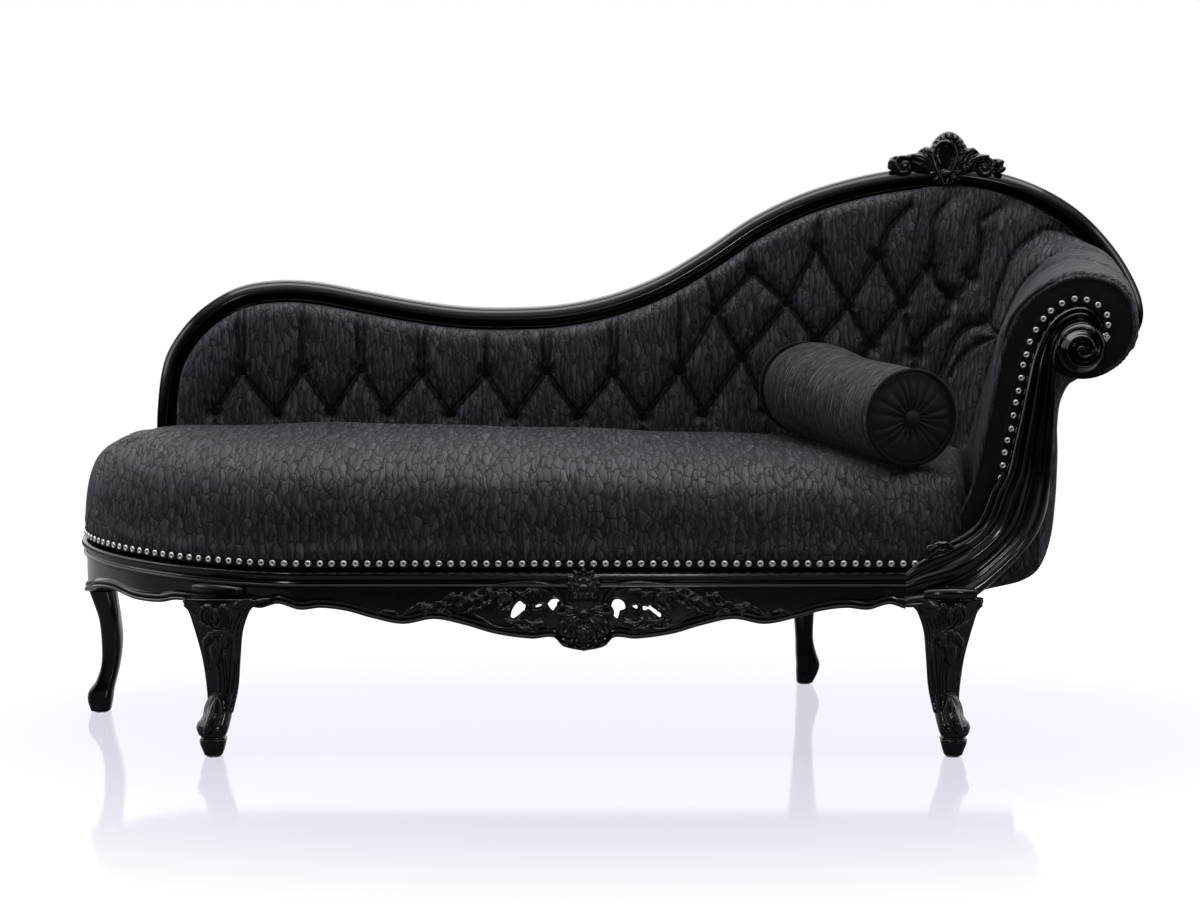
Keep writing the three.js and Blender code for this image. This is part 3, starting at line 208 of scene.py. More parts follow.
def leaf(points, wide, high, y, lobes=0, vein=0.25, lift=0.0, behind=4.0):
    """A carved leaf along a line of (x, z), rising from the wood at depth y, which may be a function of x and z,
    with lobes cut in its edges."""
    stations = max(16, 6 * lobes + 8)
    s = np.linspace(0, 1, stations + 1)
    line = spline(np.asarray(points, float), s)
    along = unit(np.gradient(line, axis=0))
    side = np.stack([-along[:, 1], along[:, 0]], 1)
    edge = np.sin(np.pi * np.clip(s * 0.94 + 0.03, 0, 1)) ** 0.6
    notch = 1 - 0.3 * (1 - np.abs(np.sin(np.pi * lobes * s))) if lobes else 1
    half = wide / 2 * edge * notch
    body = high * (0.35 + 0.65 * np.sin(np.pi * np.clip(0.15 + 0.7 * s, 0, 1))) + lift * s
    rings = []
    across = np.linspace(-1, 1, 11)
    domed = 0.3 + 0.7 * np.sqrt(1 - (across * 0.97) ** 2)
    midrib = 1 - vein * np.exp(-(across / 0.13) ** 2)
    for i in range(len(s)):
        p = line[i] + side[i] * (across * half[i])[:, None]
        groove = 0.16 * high * np.abs(across) * (1 - (notch[i] if lobes else 1)) / 0.3
        rise = body[i] * domed * midrib - groove
        depth = y(p[:, 0], p[:, 1]) if callable(y) else np.full(len(p), float(y))
        top = np.stack([p[:, 0], depth - rise, p[:, 1]], 1)
        back = np.array([[p[-1, 0], depth[-1] + behind, p[-1, 1]], [p[0, 0], depth[0] + behind, p[0, 1]]])
        rings.append(np.concatenate([top, back]))
    return loft(rings)


def lifted(points, y):
    """Points (x, z) set at depth y."""
    points = np.asarray(points, float)
    return np.stack([points[:, 0], np.broadcast_to(y, len(points)), points[:, 1]], 1)


def curl(x, z, r0, r1, start, turns, hand=1, count=28):
    """Points (x, z) of a spiral from radius r0 in to r1."""
    s = np.linspace(0, 1, count)
    a = start + hand * 2 * np.pi * turns * s
    r = r0 * (r1 / r0) ** s
    return circle(x, z, r, a)


# ---------------------------------------------------------------- pieces
def in_part(points):
    return (np.asarray(points, float) + SHIFT) * MM


def made_mesh(name, parts, uv=None, merged=True):
    """One mesh from several bodies of points and faces, in metres in the part's frame, with its faces outwards.
    Points in the same place become one, unless merged is False, which keeps every point and its number."""
    points, faces, first = [], [], 0
    for p, f in parts:
        points.append(p)
        faces += [tuple(first + k for k in face) for face in f]
        first += len(p)
    mesh = bpy.data.meshes.new(name)
    mesh.from_pydata(in_part(np.concatenate(points)).tolist(), [], faces)
    if uv is not None:
        layer = mesh.uv_layers.new(name="cloth")
        corners = np.zeros(len(mesh.loops), np.int32)
        mesh.loops.foreach_get("vertex_index", corners)
        layer.data.foreach_set("uv", np.asarray(uv, np.float32)[corners].ravel())
    built = bmesh.new()
    built.from_mesh(mesh)
    if merged:
        bmesh.ops.remove_doubles(built, verts=built.verts, dist=0.00002)
    bmesh.ops.recalc_face_normals(built, faces=built.faces)
    built.to_mesh(mesh)
    built.free()
    return mesh


def placed(name, mesh):
    piece = bpy.data.objects.new(name, mesh)
    bpy.context.scene.collection.objects.link(piece)
    return piece


def settled(piece):
    """Turns a piece and its modifiers into a plain mesh."""
    bpy.context.view_layer.update()
    plain = bpy.data.meshes.new_from_object(piece.evaluated_get(bpy.context.evaluated_depsgraph_get()))
    old = piece.data
    piece.modifiers.clear()
    piece.data = plain
    plain.name = piece.name
    bpy.data.meshes.remove(old)
    return piece


def finished(piece, material, body, slot, stands_for=(), crisp=None):
    """Gives a piece its material, shading and body, and says which solids it stands for. Its slot is not used."""
    if not piece.data.materials:
        piece.data.materials.append(material)
    piece.data.shade_smooth()
    if crisp is not None:
        piece.data.set_sharp_from_angle(angle=math.radians(crisp))
    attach(piece, body)
    if stands_for:
        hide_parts(*stands_for)
    return piece


def new_piece(name, parts, look, stands_for=(), crisp=None, uv=None):
    """A piece made straight from bodies of points and faces; look is its material, body and slot."""
    return finished(placed(name, made_mesh(name, parts, uv)), *look, stands_for, crisp)


def even_net(piece, size_mm):
    """Lays one even net of faces, size_mm wide, over all of a piece's bodies."""
    net_over = piece.modifiers.new("even net", "REMESH")
    net_over.mode = "VOXEL"
    net_over.voxel_size = size_mm * MM


def finer(piece):
    """Splits each face of a piece in four and rounds it."""
    rounded = piece.modifiers.new("finer", "SUBSURF")
    rounded.levels = rounded.render_levels = 1
    return settled(piece)


def carved(name, parts, voxel, smooth):
    """Bodies grown together into one, with its edges and tool marks softened."""
    piece = placed(name, made_mesh(name, parts))
    even_net(piece, voxel)
    soft = piece.modifiers.new("softened", "SMOOTH")
    soft.factor = 0.5
    soft.iterations = smooth
    return settled(piece)


def coordinates(mesh):
    found = np.zeros(len(mesh.vertices) * 3)
    mesh.vertices.foreach_get("co", found)
    return found.reshape(-1, 3)


def set_coordinates(mesh, points):
    mesh.vertices.foreach_set("co", np.asarray(points, np.float32).ravel())
    mesh.update()


def drawn_places(piece):
    """The piece's points in millimetres as drawn."""
    return coordinates(piece.data) / MM - SHIFT


def swollen(piece, held, farthest, pressure=4.0, frames=20, stiff=12.0, bend=0.4):
    """Lets a padded piece swell as sewn cloth does. held is 0 to 1 for each point, and no point moves
    further than farthest millimetres."""
    start = coordinates(piece.data)
    pins = piece.vertex_groups.new(name="held")
    for level in np.unique(np.round(held, 2)):
        if level > 0:
            pins.add(np.nonzero(np.round(held, 2) == level)[0].tolist(), float(level), "REPLACE")
    cloth = piece.modifiers.new("swell", "CLOTH")
    rules = cloth.settings
    rules.quality = 5
    rules.mass = 0.3
    rules.tension_stiffness = rules.compression_stiffness = stiff
    rules.shear_stiffness = stiff / 2
    rules.bending_stiffness = bend
    rules.use_pressure = True
    rules.uniform_pressure_force = pressure
    rules.effector_weights.gravity = 0
    rules.vertex_group_mass = "held"
    cloth.point_cache.frame_start = 1
    cloth.point_cache.frame_end = frames
    scene = bpy.context.scene
    for moment in range(1, frames + 1):
        scene.frame_set(moment)
    ready = piece.evaluated_get(bpy.context.evaluated_depsgraph_get())
    moved = coordinates(ready.to_mesh())
    ready.to_mesh_clear()
    piece.modifiers.remove(cloth)
    piece.vertex_groups.remove(pins)
    scene.frame_set(1)
    step = moved - start
    far = np.linalg.norm(step, axis=1, keepdims=True)
    limit = farthest * MM
    step *= limit * np.tanh(far / limit) / np.maximum(far, 1e-9)
    set_coordinates(piece.data, start + step * (1 - np.asarray(held))[:, None])
    return piece


# ---------------------------------------------------------------- materials
def colour(code):
    """An sRGB hex colour as linear values."""
    parts = [int(code[k:k + 2], 16) / 255 for k in (1, 3, 5)]
    return (*(c / 12.92 if c <= 0.04045 else ((c + 0.055) / 1.055) ** 2.4 for c in parts), 1.0)


def add(tree, kind, links=None, **settings):
    """Adds a node with its settings and its inputs, each one a value or another node's output."""
    node = tree.nodes.new(kind)
    for key, value in settings.items():
        setattr(node, key, value)
    for key, value in (links or {}).items():
        if isinstance(value, bpy.types.NodeSocket):
            tree.links.new(value, node.inputs[key])
        else:
            node.inputs[key].default_value = value
    return node


def new_material(name, **constants):
    """A material with a principled shader whose constants are set on its own sockets."""
    material = bpy.data.materials.new(name)
    material.use_nodes = True
    tree = material.node_tree
    tree.nodes.clear()
    sockets = {key.replace("_", " "): value for key, value in constants.items()}
    shader = add(tree, "ShaderNodeBsdfPrincipled", sockets)
    add(tree, "ShaderNodeOutputMaterial", {"Surface": shader.outputs[0]})
    return material, tree, shader


def ramp(tree, value, low, high, to_low=0.0, to_high=1.0):
    """A smooth step of a value between low and high."""
    return add(tree, "ShaderNodeMapRange", {"Value": value, "From Min": low, "From Max": high, "To Min": to_low,
                                            "To Max": to_high}, interpolation_type="SMOOTHSTEP").outputs["Result"]


def maths(tree, operation, a, b=0.0, c=0.0):
    return add(tree, "ShaderNodeMath", {0: a, 1: b, 2: c}, operation=operation).outputs[0]


def mixed(tree, share, a, b):
    return add(tree, "ShaderNodeMix", {0: share, 6: a, 7: b}, data_type="RGBA").outputs[2]


def noise(tree, where, size_mm, detail=3.0, rough=0.5):
    """Noise whose features are size_mm across."""
    return add(tree, "ShaderNodeTexNoise", {"Vector": where, "Scale": 1 / (size_mm * MM), "Detail": detail,
                                            "Roughness": rough}).outputs["Fac"]


def wave_scale(apart_mm):
    """The scale of a wave texture for bands set by a distance of apart_mm."""
    return 1 / (apart_mm * MM) / 6.2832 * 2


def dented(tree, shader, height, depth_mm, strength=1.0):
    bump = add(tree, "ShaderNodeBump", {"Height": height, "Strength": strength, "Distance": depth_mm * MM})
    tree.links.new(bump.outputs["Normal"], shader.inputs["Normal"])


def black_lacquer():
    """Beech under black gloss lacquer, rubbed and polished by hand: mirror-like, with a faint waviness from the
    brush, a little dust in the hollows and slightly greyer, duller edges where hands have worn it."""
    material, tree, shader = new_material("black_gloss_lacquer", Specular_IOR_Level=0.5, IOR=1.5, Coat_Weight=0.35,
                                          Coat_Roughness=0.05)
    where = add(tree, "ShaderNodeTexCoord").outputs["Object"]
    shape = add(tree, "ShaderNodeNewGeometry").outputs["Pointiness"]
    worn = maths(tree, "MULTIPLY", ramp(tree, shape, 0.53, 0.60), noise(tree, where, 18, 4))
    dust = maths(tree, "MULTIPLY", ramp(tree, shape, 0.47, 0.40), noise(tree, where, 9, 4))
    body = mixed(tree, worn, colour("#050506"), colour("#17171a"))
    body = mixed(tree, maths(tree, "MULTIPLY", dust, 0.5), body, colour("#131315"))
    tree.links.new(body, shader.inputs["Base Color"])
    streaks = noise(tree, where, 30, 3)
    rough = maths(tree, "MULTIPLY_ADD", streaks, 0.12, 0.10)
    tree.links.new(maths(tree, "MULTIPLY_ADD", worn, 0.15, rough), shader.inputs["Roughness"])
    dented(tree, shader, noise(tree, where, 22, 2), 0.25, 0.5)
    return material


def jacquard(name, leaf_mm, on_cloth_map=False, folded=False, light="#60606a", dark="#101013", contrast=1.0):
    """Black jacquard brocade: a satin figure of long overlapping leaves on a matt ground. leaf_mm is one leaf's
    width, depth and length. Each leaf is painted brighter towards one side, a painted shading as if it lay over the
    next, and finer threads run along it. With folded set, the cloth is painted near black in its folds as painted
    shade. Threads are 0.9 mm apart, drawn coarser than the real 0.3 mm so that they show."""
    material, tree, shader = new_material(name, Specular_IOR_Level=0.3, Sheen_Weight=0.05, Sheen_Roughness=0.4,
                                          Sheen_Tint=colour("#c9c9d6"))
    source = add(tree, "ShaderNodeTexCoord").outputs["Object"]
    if on_cloth_map:
        source = add(tree, "ShaderNodeUVMap", uv_map="cloth").outputs["UV"]
    scaled = add(tree, "ShaderNodeMapping", {"Vector": source, "Scale": tuple(1 / (s * MM) for s in leaf_mm)})
    sway = add(tree, "ShaderNodeTexNoise", {"Vector": scaled.outputs[0], "Scale": 0.55, "Detail": 3.0})
    sway = add(tree, "ShaderNodeVectorMath", {0: sway.outputs["Color"], 1: (0.5, 0.5, 0.5)}, operation="SUBTRACT")
    sway = add(tree, "ShaderNodeVectorMath", {0: sway.outputs[0], 1: (2.3, 2.3, 2.3), 2: scaled.outputs[0]},
               operation="MULTIPLY_ADD").outputs[0]
    edges = add(tree, "ShaderNodeTexVoronoi", {"Vector": sway, "Scale": 1.0, "Randomness": 0.9},
                feature="DISTANCE_TO_EDGE").outputs["Distance"]
    cells = add(tree, "ShaderNodeTexVoronoi", {"Vector": sway, "Scale": 1.0, "Randomness": 0.9}, feature="F1")
    inside = add(tree, "ShaderNodeVectorMath", {0: sway, 1: cells.outputs["Position"]}, operation="SUBTRACT")
    across = add(tree, "ShaderNodeSeparateXYZ", {0: inside.outputs[0]}).outputs["X"]
    # painted shade: each leaf's colour is painted darker towards one side, as if it lay over the next; the same slope
    # also lifts its relief
    lap_rise_and_shade = ramp(tree, across, -0.5, 0.4, 0.22, 1.0)
    veins = maths(tree, "SINE", maths(tree, "MULTIPLY_ADD", edges, 9.0, maths(tree, "MULTIPLY", across, 13.0)))
    veins = ramp(tree, veins, -0.9, 0.5)
    figure = ramp(tree, edges, 0.0, 0.1, 0.12, 1.0)
    tone = add(tree, "ShaderNodeSeparateColor", {0: cells.outputs["Color"]}).outputs[0]
    tone = maths(tree, "MULTIPLY_ADD", tone, 0.6, 0.4)
    thread = add(tree, "ShaderNodeTexWave", {"Vector": source, "Scale": wave_scale(0.9), "Distortion": 0.6},
                 bands_direction="DIAGONAL").outputs["Fac"]
    cloudy = noise(tree, source, 70, 2)
    share = maths(tree, "MULTIPLY", maths(tree, "MULTIPLY", figure, tone),
                  maths(tree, "MULTIPLY_ADD", veins, 0.45, 0.55))
    # painted shade across each leaf
    share = maths(tree, "MULTIPLY", share, lap_rise_and_shade)
    share = maths(tree, "MULTIPLY", share, maths(tree, "MULTIPLY_ADD", cloudy, 0.5, 0.75))
    share = maths(tree, "MULTIPLY", share, maths(tree, "MULTIPLY_ADD", thread, 0.2, 0.85))
    share = maths(tree, "POWER", share, contrast)
    body = mixed(tree, share, colour(dark), colour(light))
    # painted shade: where the cloth folds inwards (low pointiness) its colour is painted near black
    if folded:
        shape = add(tree, "ShaderNodeNewGeometry").outputs["Pointiness"]
        body = mixed(tree, ramp(tree, shape, 0.43, 0.496, 0.12, 1.0), colour("#040405"), body)
    tree.links.new(body, shader.inputs["Base Color"])
    tree.links.new(maths(tree, "MULTIPLY_ADD", figure, -0.3, 0.85), shader.inputs["Roughness"])
    relief = maths(tree, "MULTIPLY_ADD", ramp(tree, edges, 0.0, 0.22), 0.55, maths(tree, "MULTIPLY", veins, 0.3))
    relief = maths(tree, "MULTIPLY_ADD", lap_rise_and_shade, 0.4, relief)
    dented(tree, shader, maths(tree, "MULTIPLY_ADD", thread, 0.06, relief), 1.2, 0.8)
    return material


def plain_weave(name, light, dark, thread_mm, rough=0.9, depth=0.25):
    """Plain-woven cloth: over-and-under threads thread_mm apart with small slubs, matt all over."""
    material, tree, shader = new_material(name, Specular_IOR_Level=0.2, Sheen_Weight=0.08, Sheen_Roughness=0.5,
                                          Roughness=rough)
    where = add(tree, "ShaderNodeTexCoord").outputs["Object"]
    bands = [add(tree, "ShaderNodeTexWave", {"Vector": where, "Scale": wave_scale(thread_mm), "Distortion": 0.8,
                                             "Detail": 1.0}, bands_direction=axis).outputs["Fac"]
             for axis in ("X", "Z", "Y")]
    woven = maths(tree, "ADD", maths(tree, "ADD", bands[0], bands[1]), bands[2])
    slub = noise(tree, where, thread_mm * 9, 3)
    share = maths(tree, "MULTIPLY", maths(tree, "MULTIPLY_ADD", woven, 0.22, 0.3), maths(tree, "ADD", slub, 0.3))
    tree.links.new(mixed(tree, share, colour(dark), colour(light)), shader.inputs["Base Color"])
    dented(tree, shader, maths(tree, "ADD", woven, slub), depth, 0.7)
    return material


def metal(name, tint, rough, mark_mm):
    """Bright metal with fine handling marks mark_mm across."""
    material, tree, shader = new_material(name, Metallic=1.0)
    where = add(tree, "ShaderNodeTexCoord").outputs["Object"]
    marks = noise(tree, where, mark_mm, 4)
    tree.links.new(mixed(tree, marks, colour(tint), colour("#ffffff")), shader.inputs["Base Color"])
    tree.links.new(maths(tree, "MULTIPLY_ADD", marks, 0.2, rough), shader.inputs["Roughness"])
    dented(tree, shader, marks, 0.03, 0.5)
    return material


def beech():
    """Sawn beech, unfinished: short flecks along the grain and saw marks 4 mm apart across it."""
    material, tree, shader = new_material("sawn_beech", Specular_IOR_Level=0.3)
    where = add(tree, "ShaderNodeTexCoord").outputs["Object"]
    long = add(tree, "ShaderNodeMapping", {"Vector": where, "Scale": (1, 0.12, 0.5)}).outputs[0]
    grain = noise(tree, long, 3, 5, 0.65)
    saw = add(tree, "ShaderNodeTexWave", {"Vector": where, "Scale": wave_scale(4), "Distortion": 2.0},
              bands_direction="DIAGONAL").outputs["Fac"]
    tree.links.new(mixed(tree, grain, colour("#8f6a41"), colour("#c29a68")), shader.inputs["Base Color"])
    tree.links.new(maths(tree, "MULTIPLY_ADD", grain, 0.2, 0.55), shader.inputs["Roughness"])
    dented(tree, shader, maths(tree, "ADD", grain, saw), 0.3, 0.5)
    return material


def wadding():
    """Cotton wadding: soft tangled fibre with small knots."""
    material, tree, shader = new_material("cotton_wadding", Roughness=0.95, Sheen_Weight=0.2)
    where = add(tree, "ShaderNodeTexCoord").outputs["Object"]
    tangle = noise(tree, where, 6, 6, 0.7)
    tree.links.new(mixed(tree, tangle, colour("#b9b4a6"), colour("#e6e2d8")), shader.inputs["Base Color"])
    dented(tree, shader, tangle, 2.0, 0.8)
    return material


def dark_glass():
    """The dark centre of each nail: black glass, faceted by a slight waviness."""
    material, tree, shader = new_material("black_glass", Specular_IOR_Level=0.6, IOR=1.52, Roughness=0.08)
    where = add(tree, "ShaderNodeTexCoord").outputs["Object"]
    clouds = noise(tree, where, 2, 2)
    tree.links.new(mixed(tree, clouds, colour("#08080a"), colour("#1c1c22")), shader.inputs["Base Color"])
    dented(tree, shader, clouds, 0.2, 0.6)
    return material


LACQUER = black_lacquer()
SEAT_CLOTH = jacquard("brocade_on_seat", (12, 58, 25), contrast=1.15)
# the back's and the arm's brocade have painted shade in their folds
BACK_CLOTH = jacquard("brocade_on_back", (10, 16, 30), folded=True)
ARM_CLOTH = jacquard("brocade_on_arm", (8, 34, 8), on_cloth_map=True, folded=True)
BOLSTER_CLOTH = jacquard("brocade_on_bolster", (8, 34, 8), on_cloth_map=True, light="#6a6a73", dark="#050506",
                         contrast=1.5)
OUTSIDE_CLOTH = jacquard("brocade_on_outside_arm", (12, 13, 28))
PLAIN = plain_weave("black_wool_cloth", "#1d1d20", "#08080a", 1.2)
SATIN = plain_weave("black_satin", "#34343a", "#0c0c0e", 0.9, rough=0.5)
LINING = plain_weave("black_cotton_lining", "#1a1a1c", "#0b0b0c", 1.5)
JUTE = plain_weave("jute_webbing", "#a8895a", "#5f4c2f", 2.5, depth=0.6)
WADDING = wadding()
BEECH = beech()
SPRING_STEEL = metal("spring_steel", "#7f8084", 0.3, 8)
NICKEL = metal("polished_nickel", "#f6f6f8", 0.27, 3)
NAIL_CORE = dark_glass()

# The usual ways in which the couch's pieces are finished: material, body and slot
WOODEN = (LACQUER, "couch", "lacquered_wood")
PLAIN_TRIM = (PLAIN, "couch", "plain_cloth")
NAILED = (NICKEL, "couch", "bright_steel")
BACK_BROCADE = (BACK_CLOTH, "couch", "brocade")
SATIN_ENDS = (SATIN, "bolster", "brocade")


def repaint(nodes, material):
    """Gives solids that stay as they are their material."""
    for name in nodes:
        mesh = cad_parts[name].data
        mesh.materials.clear()
        mesh.materials.append(material)


repaint([f"{place}_glide" for place in ("front_left", "front_right", "rear_left", "rear_right")]
        + [f"seat_spring_{k}" for k in (1, 2, 3, 4)], SPRING_STEEL)
repaint([f"seat_stretcher_{k}" for k in (1, 2, 3)] + [f"back_upright_{k}" for k in (1, 2, 3, 4)]
        + [f"back_tacking_rail_{k}" for k in (1, 2, 3, 4)]
        + ["arm_front_stump", "arm_rear_post", "arm_roll_core"], BEECH)
repaint(["seat_webbing"], JUTE)
repaint(["seat_deck", "bolster_filling"], WADDING)


# ---------------------------------------------------------------- seat rails
def bend(a, b, c, d, count=500):
    t = np.linspace(0, 1, count)[:, None]
    a, b, c, d = (np.array(p, float) for p in (a, b, c, d))
    return (1 - t)**3 * a + 3 * (1 - t)**2 * t * b + 3 * (1 - t) * t**2 * c + t**3 * d


SEAT_LINE = Run(np.concatenate([
    np.stack([np.linspace(489.5, -470, 300), np.full(300, float(FRONT_Y))], 1),
    bend((-470, FRONT_Y), (-640, FRONT_Y), (-887, -110), (-887, 85))[1:],
    bend((-887, 85), (-887, 215), (-830, REAR_Y), (-730, REAR_Y))[1:],
]))


def seat_edge(share, out):
    """Points (x, y) beside the seat's outline."""
    p, d = SEAT_LINE.at(share), SEAT_LINE.way(share, 1e-4)
    return np.stack([p[:, 0] - d[:, 1] * out, p[:, 1] + d[:, 0] * out], 1)


def seat_share(x):
    shares = np.linspace(0, 0.8, 4001)
    return float(np.interp(-x, -SEAT_LINE.at(shares)[:, 0], shares))


RAIL_JOINT = seat_share(-583)
APRON_EDGE = [(0, 178), (34, 186), (48, 200), (84, 198), (142, 206), (190, 220), (240, 230), (290, 222),
              (341, 232), (380, 243), (421, 248), (456, 245), (490, 254), (518, 246), (536, 247), (560, 247)]
FOOT_EDGE = [(0, 247), (0.15, 247), (0.2, 239), (0.28, 237), (0.36, 244), (0.44, 238), (0.52, 222), (0.62, 212),
             (0.7, 222), (0.8, 240), (1, 240)]
# The rails' mouldings, as (out, z): a thumb moulding, a cove and a bead; then two beads above the lower edge
RAIL_MOULD = [(-8, 308), (0, 308), (4.5, 307.3), (7.8, 305), (9, 301.6), (8.2, 298), (5.6, 294.6), (3, 292),
              (2, 290.2), (2.6, 288.4), (4.6, 287.2), (5.8, 285.2), (5.6, 282.8), (4, 280.8), (1.6, 279.6),
              (0.4, 278.4)]
EDGE_MOULD = [(0.2, 16.5), (1.8, 15), (4.2, 13.4), (5, 11.4), (4, 9.4), (1.6, 8.2), (2.6, 7), (5.4, 5.8),
              (6.6, 3.8), (5.8, 1.5), (2.8, 0)]


def rail_rings(shares, low, block):
    rings = []
    for share, low_z, block_z in zip(shares, low, block):
        section = (RAIL_MOULD + [(out, low_z + up) for out, up in EDGE_MOULD]
                   + [(-APRON_THICK, low_z), (-APRON_THICK, block_z), (-RAIL_THICK, block_z),
                      (-RAIL_THICK, RAIL_TOP)])
        rings.append([(*seat_edge(share, out)[0], z) for out, z in section])
    return rings


def ellipse(x, z, rx, rz, turn, count=24):
    a = around(count)
    px, pz = rx * np.cos(a), rz * np.sin(a)
    return np.stack([x + px * math.cos(turn) - pz * math.sin(turn), z + px * math.sin(turn) + pz * math.cos(turn)], 1)


# The apron's pierced openings, as outlines of (x, z)
PIERCED = [
    [(-156, 228), (-144, 234), (-141, 244), (-134, 255), (-128, 259), (-122, 254), (-114, 254), (-111, 245),
     (-117, 242), (-124, 240), (-132, 233), (-144, 226)],
    [(-103, 252), (-94, 254), (-93, 250), (-103, 246)],
    [(-85, 253), (-78, 261), (-68, 262), (-64, 257), (-69, 254), (-70, 241), (-76, 241), (-81, 246)],
    [(18, 247), (21, 259), (28, 262), (38, 257), (40, 244), (32, 240), (28, 228), (21, 234)],
    [(49, 251), (61, 252), (61, 244), (57, 244)],
    [(68, 249), (72, 252), (78, 250), (81, 254), (86, 247), (95, 242), (100, 233), (112, 226), (100, 223),
     (95, 230), (85, 238), (78, 243), (71, 241)],
]


def opening(k, grow=0.0):
    """The outline of one opening, its corners rounded."""
    line = np.array(PIERCED[k] + PIERCED[k][:1], float)
    line = spline(line, np.linspace(0, 1, 4 * len(line) + 1))[:-1]
    way = line - line.mean(0)
    return line + unit(way) * grow


def front_rail():
    shares = np.linspace(0, RAIL_JOINT - 0.15 / SEAT_LINE.length, 230)
    x = SEAT_LINE.at(shares)[:, 0]
    low = height_at(APRON_EDGE, np.abs(x - APRON_X))
    block = np.maximum(np.where(x < -545, LEG_TOP + 1.5, 266), low + 0.5)
    piece = placed("front_rail", made_mesh("front_rail", [loft(rail_rings(shares, low, block))]))
    holes = [board(opening(k), FRONT_Y - 30, FRONT_Y + 60) for k in range(len(PIERCED))]
    tool = placed("openings", made_mesh("openings", holes))
    cut = piece.modifiers.new("openings", "BOOLEAN")
    cut.operation, cut.solver, cut.object = "DIFFERENCE", "EXACT", tool
    settled(piece)
    bpy.data.objects.remove(tool)
    return finished(piece, *WOODEN, ["front_seat_rail"], crisp=32)


def foot_rail():
    s = np.linspace(0, 1, 260)
    shares = blend(RAIL_JOINT + 0.15 / SEAT_LINE.length, 1, s)
    low = height_at(FOOT_EDGE, s)
    over_leg = (s < 0.16) | ((s > 0.55) & (s < 0.69))
    block = np.maximum(np.where(over_leg, low + 1.5, 266), low + 0.5)
    return new_piece("foot_rail", [loft(rail_rings(shares, low, block))], WOODEN, ["foot_end_rail"], crisp=32)


def rear_rail():
    """The rear seat rail, its edges rounded and a bead run along its lower edge."""
    section = [(0, 308), (-44, 308), (-46, 306), (-46, 240), (-44, 238), (-2, 238), (1.6, 239.6), (2.6, 242),
               (1.6, 244.6), (-0.5, 246), (0, 248), (0, 306)]
    rings = [[(x, REAR_Y + out, z) for out, z in section] for x in np.linspace(-729.7, 752, 40)]
    return new_piece("rear_rail", [loft(rings)], WOODEN, ["rear_seat_rail"], crisp=32)


def knee_blocks():
    """A raised, pillowed block on the rail above each front knee."""
    bulge = [(-2, 0), (0.55, 0.06), (0.86, 0.2), (0.98, 0.4), (1, 0.6), (0.9, 0.8), (0.6, 0.95), (-2, 1)]
    parts = []
    shares = np.linspace(seat_share(-573), seat_share(-658), 24)
    rows = [seat_edge(shares, 0), np.stack([np.linspace(604, 519, 24), np.full(24, FRONT_Y - 1.5)], 1)]
    outward = [seat_edge(shares, 1) - rows[0], np.tile([0.0, -1.0], (24, 1))]
    for base, out in zip(rows, outward):
        grow = np.sin(np.pi * np.linspace(0.03, 0.97, 24)) ** 0.22
        rings = [[(*(p + o * (14.5 * w * g - 1 if w > 0 else -3)), 272 + (h - 0.5) * 21 * g) for w, h in bulge]
                 for p, o, g in zip(base, out, grow)]
        parts.append(loft(rings))
    return new_piece("knee_blocks", parts, WOODEN, crisp=60)


# ---------------------------------------------------------------- legs
FRONT_LEG = [
    (GLIDE + 0.3, -641, -612, -294, -262), (12, -644, -609, -297, -259), (24, -648, -606, -301, -256),
    (30, -648, -605, -302, -255), (33, -643, -609, -297, -259), (37, -649, -605, -301, -256),
    (50, -653, -601, -303, -252), (64, -645, -598, -296, -248), (80, -633, -596, -288, -244),
    (104, -636, -591, -284, -240), (128, -636, -588, -286, -238), (156, -640, -585, -290, -234),
    (182, -647, -584, -295, -230), (208, -653, -581, -299, -226), (232, -659, -573, -304, -222),
    (245, -664, -569, -307, -222), (250, -667, -566, -309, -262), (263, -670, -560, -309, -280),
]
LEG_MIDDLE = -27  # halfway between the two front legs
REAR_LEFT_LEG = [
    (GLIDE + 0.3, -884, -851, 38, 74), (22, -889, -847, 36, 76), (37, -887, -845, 36, 76),
    (54, -875, -841, 38, 78), (83, -865, -834, 40, 80), (125, -864, -829, 42, 84), (165, -868, -832, 42, 88),
    (190, -876, -836, 42, 92), (213, -884, -840, 40, 100),
]
REAR_RIGHT_LEG = [
    (GLIDE + 0.3, 358, 387, 276, 308), (22, 357, 396, 274, 310), (37, 357, 399, 270, 308),
    (60, 355, 392, 262, 300), (85, 354, 386, 256, 292), (125, 351, 386, 252, 288), (180, 347, 390, 250, 288),
    (239, 342, 396, 248, 288),
]


def leg_body(levels, roundness, sides=40, stations=80):
    dense = spline(levels, np.linspace(0, 1, stations))
    a = around(sides) + np.pi / sides
    c, s = (np.sign(v) * np.abs(v) ** roundness for v in (np.cos(a), np.sin(a)))
    return loft([np.stack([(left + right) / 2 + c * (right - left) / 2,
                           (front + rear) / 2 + s * (rear - front) / 2, np.full(sides, z)], 1) for z, left, right, front, rear in dense])


def leg_face(levels, roundness):
    """A function that gives the depth of a leg's front face at points (x, z)."""
    z, left, right, front, rear = spline(levels, np.linspace(0, 1, 300)).T

    def face(px, pz):
        left_at, right_at, front_at, rear_at = (np.interp(pz, z, side) for side in (left, right, front, rear))
        u = np.clip(np.abs(px - (left_at + right_at) / 2) / ((right_at - left_at) / 2), 0, 0.985)
        return (front_at + rear_at) / 2 - (rear_at - front_at) / 2 * (1 - u ** (2 / roundness)) ** (roundness / 2)
    return face


def on(points, face, proud=0.0):
    """Points (x, z) laid on a face and standing proud of it."""
    x, z = np.asarray(points, float).T
    return np.stack([x, face(x, z) - proud, z], 1)


